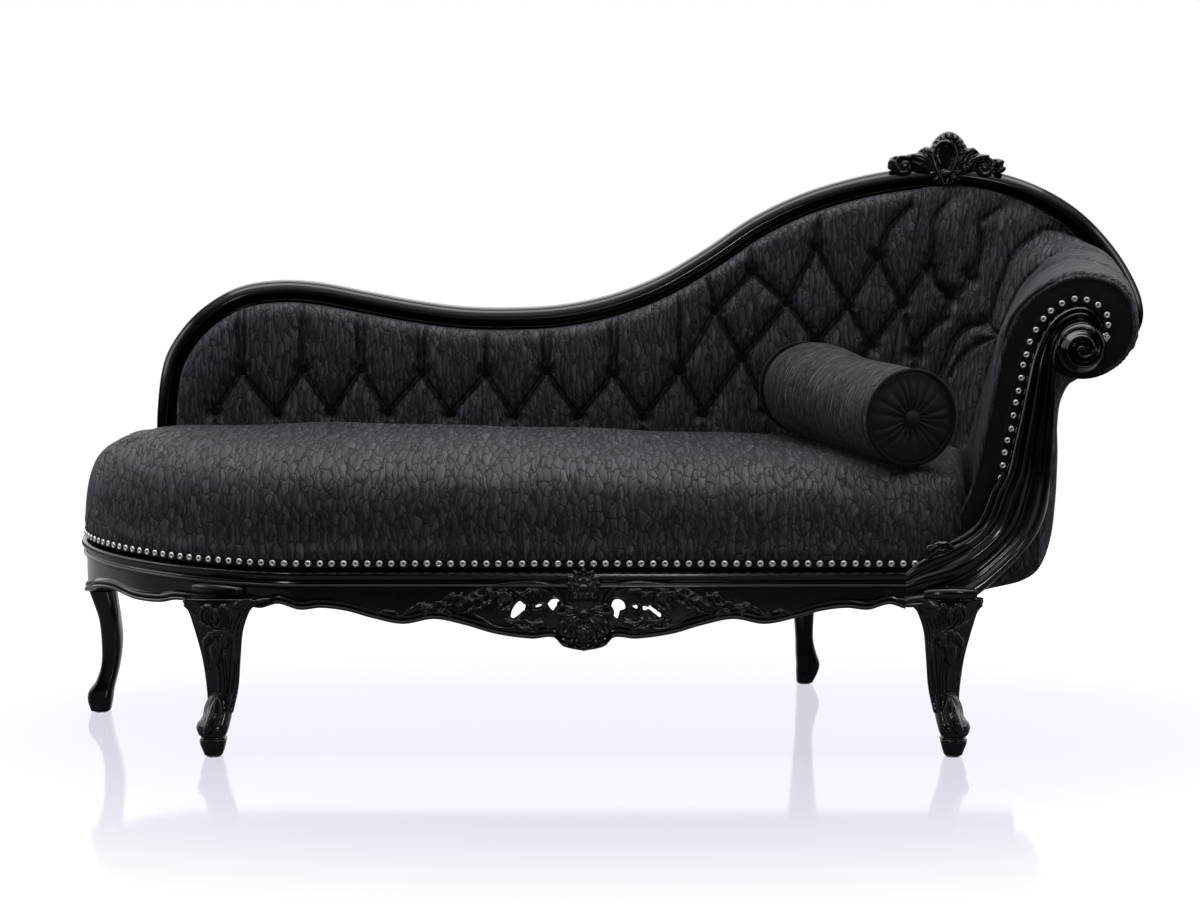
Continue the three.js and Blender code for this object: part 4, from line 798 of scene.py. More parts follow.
# Carving of the left front leg, as lines of (x, z): ridges, then leaves with their width, height and lobes
LEG_BEADS = [
    ([(-528, 262), (-551, 258), (-563, 249), (-571, 236), (-580, 208), (-585, 160), (-589, 112), (-597, 72)],
     (3.6, 5, 4, 3)),
    ([(-556, 262), (-573, 246), (-582, 226), (-589, 205), (-593, 160), (-598, 112), (-604, 84)], (3, 2.8, 2)),
    ([(-666, 254), (-658, 244), (-651, 222), (-645, 198), (-638, 161), (-633, 112), (-633, 86)],
     (3.4, 4, 3.2, 2.4)),
    ([(-668, 260), (-652, 240), (-644, 212), (-637, 180), (-630, 146)], (2.4, 1.6)),
    ([(-617, 150), (-615, 130), (-615, 108)], (2.6, 1.8)), ([(-607, 170), (-604, 130), (-606, 104)], (2.2, 1.4)),
    ([(-637, 222), (-640, 238), (-635, 250), (-627, 252), (-621, 244), (-621, 230)], (2.0, 2.8, 2.4, 1.6)),
    ([(-599, 214), (-593, 230), (-598, 246), (-605, 252), (-610, 244), (-609, 228)], (2.0, 2.8, 2.4, 1.6)),
    ([(-628, 240), (-630, 230), (-624, 218)], (1.4, 1.8)), ([(-603, 240), (-601, 228), (-608, 216)], (1.4, 1.8)),
]
LEG_LEAVES = [
    ([(-616, 206), (-618, 180), (-619, 152)], 21, 8.5, 0), ([(-614, 208), (-604, 196), (-601, 180)], 12, 6, 2),
    ([(-617, 208), (-630, 200), (-637, 182)], 14, 7, 2), ([(-618, 214), (-632, 216), (-644, 226)], 12, 5.5, 2),
    ([(-613, 212), (-600, 206), (-592, 196)], 10, 5, 2), ([(-616, 222), (-616, 236), (-616, 248)], 10, 7, 0),
    ([(-619, 104), (-626, 78), (-634, 44)], 30, 10, 0), ([(-620, 98), (-628, 72), (-636, 48)], 11, 15, 0),
]


def front_leg(name, mirror, stands_for):
    face = leg_face(FRONT_LEG, 0.62)
    parts = [leg_body(FRONT_LEG, 0.62)]
    rail_y = Run(SEAT_LINE.points[SEAT_LINE.points[:, 1] < 0][::-1]).points
    shown = lambda x, z: np.where(z > 236, np.minimum(face(x, z), np.interp(x, rail_y[:, 0], rail_y[:, 1]) - 4.5),
                                  face(x, z))
    for line, size in LEG_BEADS:
        parts.append(rod(on(line, shown, 1.2), np.array(size) * 1.12, flat=1.3, sides=8))
    parts += [leaf(line, wide, high * 1.3, face, lobes, vein=0.4) for line, wide, high, lobes in LEG_LEAVES]
    parts += [lump(-616, face(-616, 210) - 3, 210, 5.5, 7, 5.5), lump(-633, -289, 51, 20, 20, 15)]
    if mirror:
        parts = [(p * [-1, 1, 1] + [2 * LEG_MIDDLE, 0, 0], f) for p, f in parts]
    piece = carved(name, parts, voxel=1.25, smooth=2)
    return finished(piece, *WOODEN, stands_for)


def rear_leg(name, levels, stands_for):
    return new_piece(name, [leg_body(levels, 0.5, 36, 60)], WOODEN, stands_for, crisp=50)


# ---------------------------------------------------------------- apron carving
def both_sides(line):
    """A line of (distance from the apron's middle, z), to the left and to the right."""
    line = np.asarray(line, float)
    return [line * [side, 1] + [APRON_X, 0] for side in (-1, 1)]


# Frame of the pierced panel, rims round its openings, sprays of leaves and sprigs on the lower edge
PANEL_FRAME = [(232, 258), (212, 252), (186, 266), (163, 279), (124, 287), (78, 290), (52, 284), (36, 267),
               (31, 246), (34, 226), (44, 212)]
PANEL_INNER = [(176, 262), (150, 274), (120, 280), (82, 282), (60, 276), (46, 266)]
LOWER_SCROLL = [(62, 232), (82, 226), (104, 217), (128, 215), (150, 222), (168, 234), (190, 240), (214, 236)]
HOOKS = [[(62, 232), (68, 240), (82, 242), (90, 234)], [(94, 262), (112, 268), (130, 262), (136, 252)],
         [(140, 234), (132, 226), (120, 224)], [(150, 254), (160, 262), (172, 260), (176, 250), (168, 243)],
         [(64, 266), (74, 270), (84, 266), (88, 258)]]


def apron_carving():
    y = FRONT_Y - 0.5
    parts = []
    for line, size in [(PANEL_FRAME, (2.2, 4, 4.2, 4, 3)), (PANEL_INNER, (1.4, 2.4, 2.4, 1.6)),
                       (LOWER_SCROLL, (2.5, 3.4, 3.4, 2.4, 1.4))] + [(hook, (2.6, 1.5)) for hook in HOOKS]:
        parts += [rod(lifted(side, y - 1.2), np.array(size), sides=8) for side in both_sides(line)]
    for k in range(len(PIERCED)):
        rim = opening(k, 2.4)
        parts.append(rod(lifted(np.vstack([rim, rim[:1]]), y - 1), 2.3, sides=8, steps=90))
    for k in range(8):
        d, z = 112 + 15.5 * k, 263 - 1.2 * k - 6 * math.cos(1.7 * k)
        fan = ((16, 15 - k, 5), (20, -17 + 1.5 * k, -5), (22, 4 * math.sin(2.1 * k), 8))
        for n, (reach, rise, turn) in enumerate(fan):
            reach, rise = reach + 4 * math.sin(3 * k + 2 * n), rise + 3 * math.cos(2 * k + n)
            for side in both_sides([(d, z), (d + reach * 0.4, z + rise * 0.3 + turn), (d + reach, z + rise)]):
                parts.append(leaf(side, 12 - 0.7 * k, 8, y, 3, vein=0.45, lift=3))
        tendril = curl(0, 0, 5.5, 1.5, 0.8 * k, 1.0, 1) + [d + 8, z - 8 + 3 * (k % 3)]
        parts += [rod(lifted(side, y - 4), np.array([2.2, 1.2]), sides=6, steps=24) for side in both_sides(tendril)]
    for line, wide in (([(60, 224), (80, 222), (98, 230)], 13), ([(70, 216), (92, 214), (112, 222)], 12),
                       ([(98, 228), (116, 226), (130, 232)], 12), ([(66, 272), (88, 276), (104, 268)], 13),
                       ([(90, 262), (98, 270), (112, 276)], 10), ([(84, 236), (90, 246), (88, 258)], 10)):
        parts += [leaf(side, wide, 8, y, 3, vein=0.45, lift=3) for side in both_sides(line)]
    for line, wide in (([(235, 247), (262, 251), (289, 237)], 15), ([(262, 248), (254, 240), (256, 231)], 11),
                       ([(300, 240), (318, 243), (334, 236)], 8), ([(222, 244), (214, 238), (218, 229)], 9)):
        parts += [leaf(side, wide, 5.5, y, 3, lift=1) for side in both_sides(line)]
    piece = carved("apron_foliage", parts, voxel=1.25, smooth=3)
    return finished(piece, *WOODEN, ["apron_carving_left", "apron_carving_right"])


def cartouche():
    """The flower, reeded waist and fluted shell in the middle of the apron."""
    y = FRONT_Y - 3
    x = APRON_X
    parts = [board(ellipse(x, 243, 27, 62, 0, 32), y - 1, FRONT_Y + 2)]
    for turn in np.linspace(-1.9, 1.9, 9):
        reach = 33 - 5 * abs(turn)
        tip = (x + reach * math.sin(turn) * 1.15, 284 + reach * math.cos(turn))
        middle = (x + reach * 0.5 * math.sin(turn) * 1.3, 284 + reach * 0.5 * math.cos(turn) + 1.5)
        parts.append(leaf([(x, 281), middle, tip], 13, 8, y, 2, lift=3))
    for turn in np.linspace(-1.5, 1.5, 5):
        parts.append(leaf([(x, 286), (x + 9 * math.sin(turn), 286 + 9 * math.cos(turn)),
                           (x + 16 * math.sin(turn), 286 + 15 * math.cos(turn))], 9, 11, y, 0, lift=2))
    parts.append(lump(x, y - 8, 283, 7, 7, 6))
    for k in range(-2, 3):
        parts.append(rod([(x + 8.5 * k, y - 5 + abs(k), 277), (x + 7 * k, y - 9 + abs(k), 262),
                          (x + 8.5 * k, y - 6 + abs(k), 247)], np.array([4.2, 3.6, 4.6]), sides=8))
    for turn in np.linspace(-1.95, 1.95, 11):
        reach = 50 - 9 * abs(turn) + 3 * math.cos(3 * turn)
        tip = (x - reach * math.sin(turn) * 1.05, 240 - reach * math.cos(turn) * 1.05)
        middle = (x - reach * 0.55 * math.sin(turn) * 1.2, 240 - reach * 0.5 * math.cos(turn))
        parts.append(leaf([(x, 244), middle, tip], 15, 10, y, 0, vein=0.3, lift=3))
        parts.append(lump(tip[0], y - 8, tip[1], 5, 5, 5))
    for side in (-1, 1):
        scroll = curl(x + side * 37, 240, 12, 2.5, 0.5 * np.pi, 1.1, -side)
        parts.append(rod(lifted(scroll, y - 6), np.array([4, 2]), sides=8))
    parts += [lump(x, y - 12, 206, 12, 8, 15), lump(x, y - 15, 213, 6, 7, 8), lump(x, y - 9, 240, 9, 8, 8)]
    piece = carved("apron_shell", parts, voxel=1.2, smooth=3)
    return finished(piece, *WOODEN, ["apron_cartouche"])


# ---------------------------------------------------------------- back rail and crest
BACK_LINE = Run(spline([
    (-793, 308.3), (-794, 400), (-793, 501), (-779, 591), (-757, 634), (-720, 677), (-673, 710), (-630, 727),
    (-565, 735), (-501, 731), (-415, 715), (-329, 699), (-244, 688), (-158, 686), (-72, 691), (14, 708),
    (100, 740), (186, 790), (271, 847), (356, 888), (442, 915), (530, 932), (623, 939), (710, 926), (784, 900),
    (850, 860), (905, 806), (944, 750), (966, 700), (968, 662), (950, 626), (915, 604), (868, 596),
], np.linspace(0, 1, 3200)))
# The rail's section as (out, front): a fine outer bead, a broad sloping band, a deep hollow and an inner band
BACK_MOULD = [(-0.3, 6), (-0.5, 11), (-1.4, 14.4), (-2.6, 15.4), (-3.6, 14.8), (-4.4, 15.2), (-5.6, 16.8),
              (-8, 18.5), (-11.5, 20.4), (-15.5, 22.1), (-18.6, 22.9), (-20.4, 22.2), (-21.6, 19),
              (-22.4, 13.5), (-23.6, 9.6), (-25.6, 8.3), (-27.6, 9.4), (-29.4, 12.4), (-31.4, 14.8),
              (-33.2, 16), (-34.6, 15.6), (-35.6, 13.6), (-36.2, 12.2), (-37, 12.8), (-38, 11)]


def back_points(share, out, front):
    p, d = BACK_LINE.at(share), BACK_LINE.way(share, 4e-4)
    return np.stack([p[:, 0] - d[:, 1] * out, np.full(len(p), BACK_Y - front), p[:, 1] + d[:, 0] * out], 1)


def back_rail():
    shares = np.linspace(0, 1, 460)
    section = BACK_MOULD + [(-38, -22), (-2, -22), (0, -12)]
    rings = np.stack([back_points(shares, out, front) for out, front in section], 1)
    return new_piece("back_rail", [loft(rings)], WOODEN, ["back_rail_foot", "back_rail_middle", "back_rail_head"],
                     crisp=40)


INNER_EDGE = back_points(np.linspace(0.02, 0.92, 900), -BACK_RAIL_WIDE, 0)[:, [0, 2]]
INNER_EDGE[:, 0] = np.maximum.accumulate(INNER_EDGE[:, 0])


def inner_height(x):
    return np.interp(x, INNER_EDGE[:, 0], INNER_EDGE[:, 1])


CREST_OUTLINE = [(506, 932), (506, 943), (510, 952), (519, 956), (531, 955), (545, 959), (556, 958), (564, 967),
                 (575, 973), (584, 971), (589, 983), (599, 992), (615, 997), (627, 996), (638, 989), (648, 978),
                 (652, 969), (662, 972), (671, 965), (678, 956), (690, 956), (699, 950), (711, 951), (719, 939),
                 (719, 929), (704, 917), (672, 924), (620, 930), (560, 926), (520, 924)]


def crest():
    """The crest: a ribbed shell over a pierced drop, between acanthus leaves and two scrolls."""
    x, y = 612, 262
    inset = np.asarray(CREST_OUTLINE, float)
    middle = inset.mean(0)
    parts = [board(middle + (inset - middle) * 0.955, y, y + 22)]
    for side, (cx, cz) in ((-1, (539, 938)), (1, (679, 935))):
        start = np.pi / 2 - side * 0.55
        spiral = curl(cx, cz, 18.5, 3, start, 1.5, -side, 34)
        root = np.array([(x + side * 14, 930), (x + side * 30, 946)])
        parts.append(rod(lifted(np.vstack([root, spiral]), y - 6), np.array([3, 4.2, 4.2, 3.6, 3, 2.2]), sides=8,
                         steps=130))
        parts += [lump(cx, y + 1, cz, 17, 5, 16), lump(cx, y - 7, cz, 3.5, 5, 3.5)]
    for line, wide in (([(601, 922), (592, 950), (576, 969)], 19), ([(596, 922), (574, 950), (549, 958)], 15),
                       ([(592, 924), (568, 938), (556, 946)], 11), ([(624, 922), (642, 952), (659, 969)], 21),
                       ([(628, 922), (662, 950), (688, 957)], 12), ([(634, 924), (652, 938), (662, 944)], 11),
                       ([(702, 936), (708, 944), (714, 947)], 12), ([(523, 934), (516, 944), (512, 950)], 12),
                       ([(700, 926), (710, 932), (717, 936)], 11)):
        parts.append(leaf(line, wide, 12, y - 1, 0, vein=0.5, lift=4))
    for turn in np.linspace(-1.35, 1.3, 10):
        reach = 41 - 7 * abs(turn)
        tip = (x + 4 + reach * math.sin(turn), 958 + reach * math.cos(turn))
        base = (x + 2 + 16 * math.sin(turn), 958 + 18 * math.cos(turn))
        half = (x + 3 + reach * 0.7 * math.sin(turn) + 1.5, 958 + reach * 0.7 * math.cos(turn))
        parts.append(leaf([base, half, tip], 13, 11, y - 1, 0, vein=0.5, lift=5))
    rim = [(x + 4 + (38 - 7 * abs(turn)) * math.sin(turn), 958 + (38 - 7 * abs(turn)) * math.cos(turn))
           for turn in np.linspace(-1.3, 1.25, 14)]
    parts.append(rod(lifted(rim, y - 1), np.array([3.4, 3.8, 3.4]), sides=8, steps=60))
    drop = [(608, 906), (596, 928), (588, 947), (590, 966), (599, 978), (611, 981), (622, 975), (629, 960),
            (628, 944), (619, 926), (612, 906)]
    parts.append(rod(lifted(drop, y - 13), np.array([2, 3, 3.4, 3, 2]), sides=8, steps=60))
    parts.append(rod(lifted((np.array(drop) - [611, 906]) * [0.62, 0.8] + [610.5, 913], y - 9),
                     np.array([1.6, 2.2, 2.4, 2.2, 1.6]), sides=8, steps=60))
    front = BACK_Y - 23
    for reach, rise, wide in ((-34, 10, 11), (-24, -4, 9), (-13, -9, 8), (0, -10, 9), (13, -9, 8), (24, -4, 9),
                              (34, 10, 11)):
        parts.append(leaf([(x, 925), (x + reach * 0.5, 925 + rise * 0.6 - 4), (x + reach, 917 + rise)], wide, 7,
                          front + 3, 0, lift=2, behind=10))
    parts.append(lump(x, front - 3, 925, 9, 7, 8))
    piece = carved("crest", parts, voxel=1.15, smooth=3)
    return finished(piece, *WOODEN, ["crest_carving"])


# ---------------------------------------------------------------- scrolled arm post
POST = np.array([
    [(490, 308), (490, 249)], [(516, 330), (535, 249)], [(544, 341), (579, 252)], [(566, 350), (612, 270)],
    [(591, 363), (649, 304)], [(610, 381), (686, 342)], [(624, 405), (708, 380)], [(632, 434), (719, 424)],
    [(650, 463), (721, 470)], [(658, 508), (722, 512)], [(669, 558), (724, 553)], [(679, 614), (725, 598)],
    [(688, 656), (724, 640)], [(706, 695), (727, 672)], [(723, 717), (737, 690)], [(749, 731), (752, 700)],
    [(771, 731), (768, 702)], [(788, 719), (781, 697)], [(797, 702), (788, 690)],
], float)
POST_FACE_Y, POST_REAR_Y = -289, -246
# How far the post's flutes and beads stand out across its width, from its inner to its outer edge
POST_MOULD = [(0, 2), (0.04, 7), (0.09, 9.5), (0.15, 9), (0.2, 5.5), (0.23, 2.5), (0.26, 2.5), (0.31, 7),
              (0.38, 10), (0.46, 9.6), (0.53, 6.5), (0.58, 2.6), (0.62, 1.6), (0.66, 3), (0.7, 4.4),
              (0.74, 4.2), (0.77, 6.5), (0.82, 11), (0.88, 13), (0.94, 10.5), (0.98, 5), (1, 0)]


def post_edge(side, t):
    """An edge of the post, its small unevennesses faired out."""
    spread = np.linspace(-0.055, 0.055, 23)
    weight = np.cos(spread / 0.055 * np.pi / 2) ** 2 + 1e-3
    t = np.atleast_1d(t)
    reach = np.minimum(np.minimum(t, 1 - t) / 0.055, 1)
    line = sum(w * spline(POST[:, side], t + d * reach) for w, d in zip(weight, spread))
    return line / weight.sum()


def post_way(t):
    """The way along the post's inner edge."""
    return unit(post_edge(0, np.minimum(t + 1e-3, 1)) - post_edge(0, t - 1e-3))


def arm_post():
    """The post: the rail's mouldings turn up in a flowing S and wind into a volute."""
    stations, across = 190, 46
    t = np.linspace(0, 1, stations)
    inner, outer = post_edge(0, t), post_edge(1, t)
    s = np.linspace(0, 1, across)
    rail_z = np.array([z for _, z in RAIL_MOULD[1:]] + [RAIL_FOOT + up for _, up in EDGE_MOULD])
    rail_out = np.array([out for out, _ in RAIL_MOULD[1:]] + [out for out, _ in EDGE_MOULD])
    at_rail = np.interp(s * (RAIL_TOP - RAIL_FOOT), RAIL_TOP - rail_z, rail_out)
    at_post = np.interp(s, *np.array(POST_MOULD).T)
    rings = []
    for i in range(stations):
        turning = float(ease(t[i], 0.01, 0.2))
        relief = 1 - 0.4 * float(ease(t[i], 0.6, 1))
        face = blend(FRONT_Y, POST_FACE_Y, turning) - blend(at_rail, at_post * relief, turning)
        front = np.stack([blend(inner[i, 0], outer[i, 0], s), face, blend(inner[i, 1], outer[i, 1], s)], 1)
        rear = blend(POST_REAR_Y, ARM_FRONT_Y - 8.5, float(ease(t[i], 0.36, 0.46)))
        rings.append(np.vstack([front, [(outer[i, 0], rear, outer[i, 1]), (inner[i, 0], rear, inner[i, 1])]]))
    # the volute: a dome with a ridge winding into its eye
    turn = around(120)
    radii = np.linspace(0.02, 1, 64) * VOLUTE_R
    wound = []
    for r in radii:
        lag = ((1.0 - turn) % (2 * np.pi)) / (2 * np.pi)
        off = np.min([np.abs(r - (36 - 17 * (lag + k))) for k in range(3)], axis=0)
        dome = 10 + 19 * math.sqrt(max(1 - (r / (VOLUTE_R + 1)) ** 2, 0))
        ridge = 5.5 * np.exp(-(off / 3.2) ** 2) - 3.5 * np.exp(-((off - 8.5) / 3.0) ** 2)
        high = dome + ridge * ease(r, 1, 5) + 4 * (1 - ease(r, 1, 6))
        wound.append(lifted(circle(VOLUTE_X, VOLUTE_Z, r, turn), POST_FACE_Y - high))
    for r, y in ((VOLUTE_R + 0.3, POST_FACE_Y - 4), (VOLUTE_R, POST_FACE_Y + 12)):
        wound.append(lifted(circle(VOLUTE_X, VOLUTE_Z, r, turn), y))
    bead = post_edge(0, np.linspace(2 / 18, 8 / 18, 24)) + [-3.5, 2.5]
    parts = [loft(rings), loft(wound),
             rod(lifted(bead, POST_FACE_Y - 4), np.array([2.4, 3.6, 3.8, 3.0]), sides=12, steps=70)]
    # a leaf scroll where the post leaves the rail
    for line, wide in (([(566, 346), (548, 352), (532, 344), (520, 331)], 15),
                       ([(560, 342), (540, 340), (522, 326)], 12)):
        parts.append(leaf(line, wide, 9, FRONT_Y + 2, 3, lift=2, behind=8))
    scroll = lifted(curl(528, 338, 11, 2.5, 1.2, 1.2, 1), FRONT_Y - 3)
    parts.append(rod(scroll, np.array([3.4, 1.8]), sides=10, steps=50))
    return new_piece("arm_post", parts, WOODEN, ["arm_front_post"], crisp=45)


# ---------------------------------------------------------------- folds and buttons
BUTTON_DEEP, BUTTON_WIDE = 26, 15  # how far a button draws the padding in, and over which width


class Folds:
    """Lines along which padding is sewn or folded in. Each has its points, its depth and the width over which the
    padding rises beside it; buttons draw it in further."""

    def __init__(self, lines, buttons):
        self.buttons = np.asarray(buttons, float)
        self.lines = []
        for points, deep, wide in lines:
            points = np.asarray(points, float)
            dense = spline(points, np.linspace(0, 1, 24 * (len(points) - 1) + 1)) if len(points) > 2 else points
            self.lines.append((dense, deep, wide))

    def depth(self, places):
        """How far the padding is drawn in at each place."""
        drawn = np.zeros(len(places))
        for dense, deep, wide in self.lines:
            near = np.full(len(places), np.inf)
            share = np.zeros(len(places))
            last = len(dense) - 1
            for k in range(last):
                a, d = dense[k], dense[k + 1] - dense[k]
                t = np.clip((places - a) @ d / max(d @ d, 1e-9), 0, 1)
                far = np.linalg.norm(places - a - t[:, None] * d, axis=1)
                share = np.where(far < near, (k + t) / last, share)
                near = np.minimum(near, far)
            deep = np.interp(share, np.linspace(0, 1, np.size(deep)), np.atleast_1d(deep))
            rise = 1 - np.minimum(near / wide, 1)
            crease = deep * (1 - np.sqrt(1 - rise**2 * JUST_UNDER_ONE)) + deep * 0.35 * rise**2
            crease += deep * 0.5 * np.exp(-((near - 2.6) / 2.1) ** 2)
            drawn = np.maximum(drawn, crease)
        for button in self.buttons:
            far = np.linalg.norm(places - button, axis=1)
            drawn = np.maximum(drawn, BUTTON_DEEP * np.exp(-(far / BUTTON_WIDE) ** 2))
        return drawn


def smaller(grid, step):
    """Every so many rows and columns of a net, its last ones kept."""
    rows = np.unique(np.append(np.arange(0, grid.shape[0], step), grid.shape[0] - 1))
    columns = np.unique(np.append(np.arange(0, grid.shape[1], step), grid.shape[1] - 1))
    return grid[rows][:, columns], rows, columns


def swell(front, rear, held, farthest, pressure, step=4):
    """How far each point of a pad's face moves when its cloth swells between its buttons and seams."""
    coarse, rows, columns = smaller(front, step)
    count = coarse.shape[0] * coarse.shape[1]
    mesh = made_mesh("swelling", [quilt(coarse, smaller(rear, step)[0])], merged=False)
    pins = np.concatenate([smaller(held, step)[0].ravel(), np.ones(count)])
    piece = swollen(placed("swelling", mesh), pins, farthest, pressure)
    moved = drawn_places(piece)[:count].reshape(coarse.shape) - coarse
    bpy.data.objects.remove(piece)
    wide = np.stack([np.interp(np.arange(front.shape[0]), rows, column)
                     for column in moved.reshape(len(rows), -1).T], 1).reshape(front.shape[0], len(columns), 3)
    flat = wide.transpose(1, 0, 2).reshape(len(columns), -1)
    full = np.stack([np.interp(np.arange(front.shape[1]), columns, column) for column in flat.T], 1)
    return full.reshape(front.shape[1], front.shape[0], 3).transpose(1, 0, 2)


def shell(front, rear, cloth=None):
    """A pad from a fine face and a few rows of points behind it, and its cloth map."""
    rings = np.concatenate([front, rear[:, ::-1]], 1)
    if cloth is None:
        return loft(rings), None
    behind = np.repeat(cloth[:, -1:], rear.shape[1], 1)
    return loft(rings), np.concatenate([cloth, behind], 1).reshape(-1, 2)


# ---------------------------------------------------------------- back padding
SEAM_X, LEAN, LEAN_FROM = 513, 0.17, 575
ROW_A = [(-686, 504), (-576, 500), (-478, 502), (-378, 502), (-267, 500), (-152, 496), (-39, 496), (77, 494),
         (184, 500), (300, 505), (412, 508)]
ROW_B = [(-637, 576), (-529, 579), (-425, 579), (-317, 572), (-203, 571), (-96, 576), (24, 571), (141, 576),
         (252, 600), (384, 629), (480, 622)]
ROW_C = [(204, 683), (332, 698), (439, 691), (536, 695)]
ROW_D = [(269, 752), (382, 796), (491, 779), (586, 773)]


def pad_column(x0, rows):
    """Points (x, z) from the seat up to the rail, leaning where the back climbs."""
    lean = LEAN * ease(x0, -20, 200)
    top = inner_height(x0)
    for _ in range(12):
        top = inner_height(x0 + lean * np.maximum(top - LEAN_FROM, 0))
    z = PAD_BOTTOM + (top - PAD_BOTTOM) * rows
    return np.stack([x0 + lean * np.maximum(z - LEAN_FROM, 0), z], 1)


SEAM_TOP = pad_column(float(SEAM_X), np.array([1.0]))[0]


def back_folds():
    lines = []
    diamond, wide = (15, 13, 15), 34
    for row in (ROW_B[:8],):
        for k, b in enumerate(row):
            lines += [([a, b], diamond, wide) for a in ROW_A[k:k + 2]]
    for a, b in ((8, 8), (9, 8), (9, 9), (10, 9), (10, 10)):
        lines.append(([ROW_A[a], ROW_B[b]], diamond, wide))
    for b, c in ((7, 0), (8, 0), (8, 1), (9, 1), (9, 2), (10, 2), (10, 3)):
        lines.append(([ROW_B[b], ROW_C[c]], diamond, wide))
    for c, d in ((0, 0), (1, 0), (1, 1), (2, 1), (2, 2), (3, 2), (3, 3)):
        lines.append(([ROW_C[c], ROW_D[d]], diamond, wide))
    for k, (x, z) in enumerate(ROW_B[:8]):
        top = float(inner_height(x))
        for apart in ((-5.5, 5.5) if k % 3 != 1 else (0,)):
            pleat = [(x + apart * 0.2, z), (x + apart, (z + top) / 2), (x + apart, top - 3)]
            lines.append((pleat, (14, 9, 8), 17))
    for x, z in ROW_A:
        lines.append(([(x, z), (x - 1, 440)], (10, 8), 26))
    for (x, z), (dx, dz) in zip([ROW_C[0]] + ROW_D, ((-14, 56), (-4, 40), (12, 62), (55, 90), (40, 118))):
        lines.append(([(x, z), (x + dx * 0.3, z + dz * 0.5), (x + dx, z + dz)], (14, 11, 9), 26))
    return Folds(lines, ROW_A + ROW_B + ROW_C + ROW_D)


def back_pad():
    """The buttoned padding of the back: swollen diamonds between folded-in lines, pleats up to the rail."""
    u = np.linspace(0, 1, 641)
    rows = np.linspace(0, 1, 161)
    x0 = blend(-755.5, SEAM_X, u)
    plan = np.stack([pad_column(x, rows) for x in x0])
    height = np.broadcast_to(rows, plan.shape[:2])
    span = plan[:, -1, 1][:, None] - PAD_BOTTOM
    from_top = (1 - height) * span
    from_left = np.broadcast_to((x0 - x0[0])[:, None], height.shape)
    edge = np.minimum(np.minimum(from_top, from_left) / 26, 1)
    round_in = 20 * (1 - np.sqrt(1 - (1 - edge) ** 2 * JUST_UNDER_ONE))
    belly = 7 * np.sin(np.pi * height)
    drawn = BACK_FOLDS.depth(plan.reshape(-1, 2)).reshape(height.shape)
    shared = u > 0.93
    beyond = np.stack([plan[shared][..., 0], np.full(plan[shared].shape[:2], float(PAD_FACE_Y)),
                       plan[shared][..., 1]], 2)
    beyond = SEWN_ON_ARM.depth(beyond.reshape(-1, 3)).reshape(beyond.shape[:2])
    drawn[shared] = np.maximum(drawn[shared], beyond * ease(plan[shared][..., 0], 440, 490))
    along = np.cumsum(np.linalg.norm(np.diff(plan[:, -1], axis=0, prepend=plan[:1, -1]), axis=1))[:, None]
    ruffle = 1.3 * (np.sin(along / 2.3 + 2 * np.sin(along / 31)) * np.clip(1 - from_top / 16, 0, 1))
    y = PAD_FACE_Y - 5 - belly + np.minimum(round_in + drawn * (1 - round_in / 30) + ruffle, 33)
    front = np.stack([plan[..., 0], y, plan[..., 1]], 2)
    rear = np.stack([plan[..., 0], np.full(y.shape, float(PAD_BACK_Y)), plan[..., 1]], 2)
    held = np.maximum.reduce([1 - ease(from_top, 6, 30), 1 - ease(from_left, 6, 30),
                              1 - ease(height * span, 4, 24), ease(drawn, 2.5, 9),
                              ease(u, 0.985, 1)[:, None] + 0 * height])
    front += swell(front, rear, held, 6, 4.5, 6)
    body, _ = shell(front, rear[:, ::40])
    piece = new_piece("back_pad", [body], BACK_BROCADE, ["inside_back_pad"])


# ---------------------------------------------------------------- arm padding
ARM_NET = [
    [(513.4, 232, 441), (513.4, 226, 560), (529.6, 224, 670), (546.6, 225, 770), (560.2, 229, 850),
     (SEAM_TOP[0] + 0.4, 252, SEAM_TOP[1] - 2)],
    [(606, 205, 441), (634, 205, 570), (668, 212, 690), (708, 226, 780), (756, 242, 832), (792, 258, 846)],
    [(642, 120, 441), (678, 130, 580), (718, 142, 710), (788, 172, 798), (868, 212, 800), (912, 240, 758)],
    [(634, 0, 441), (668, -4, 580), (694, -4, 712), (786, 0, 792), (884, 6, 762), (898, 4, 676)],
    [(600, ARM_FRONT_Y, 441), (625, ARM_FRONT_Y, 560), (647, ARM_FRONT_Y, 706), (741, ARM_FRONT_Y, 784),
     (838, ARM_FRONT_Y, 762), (857, ARM_FRONT_Y, 672)],
]
ARM_END = [(SEAM_TOP[0] + 1, 260, SEAM_TOP[1] - 1), (800, 259, 843), (930, 248, 716), (862, 4, 622),
           (800, ARM_FRONT_Y, 618)]


def arm_surface(u, v):
    """Points of the arm's face: u runs from the seam with the back to the front, v from the seat over the roll."""
    lines = [spline([row[k] for row in ARM_NET], u) for k in range(6)] + [spline(ARM_END, u)]
    return np.stack([spline([line[i] for line in lines], v) for i in range(len(u))])


def arm_point(u, v):
    return arm_surface(np.array([u]), np.array([v]))[0, 0]


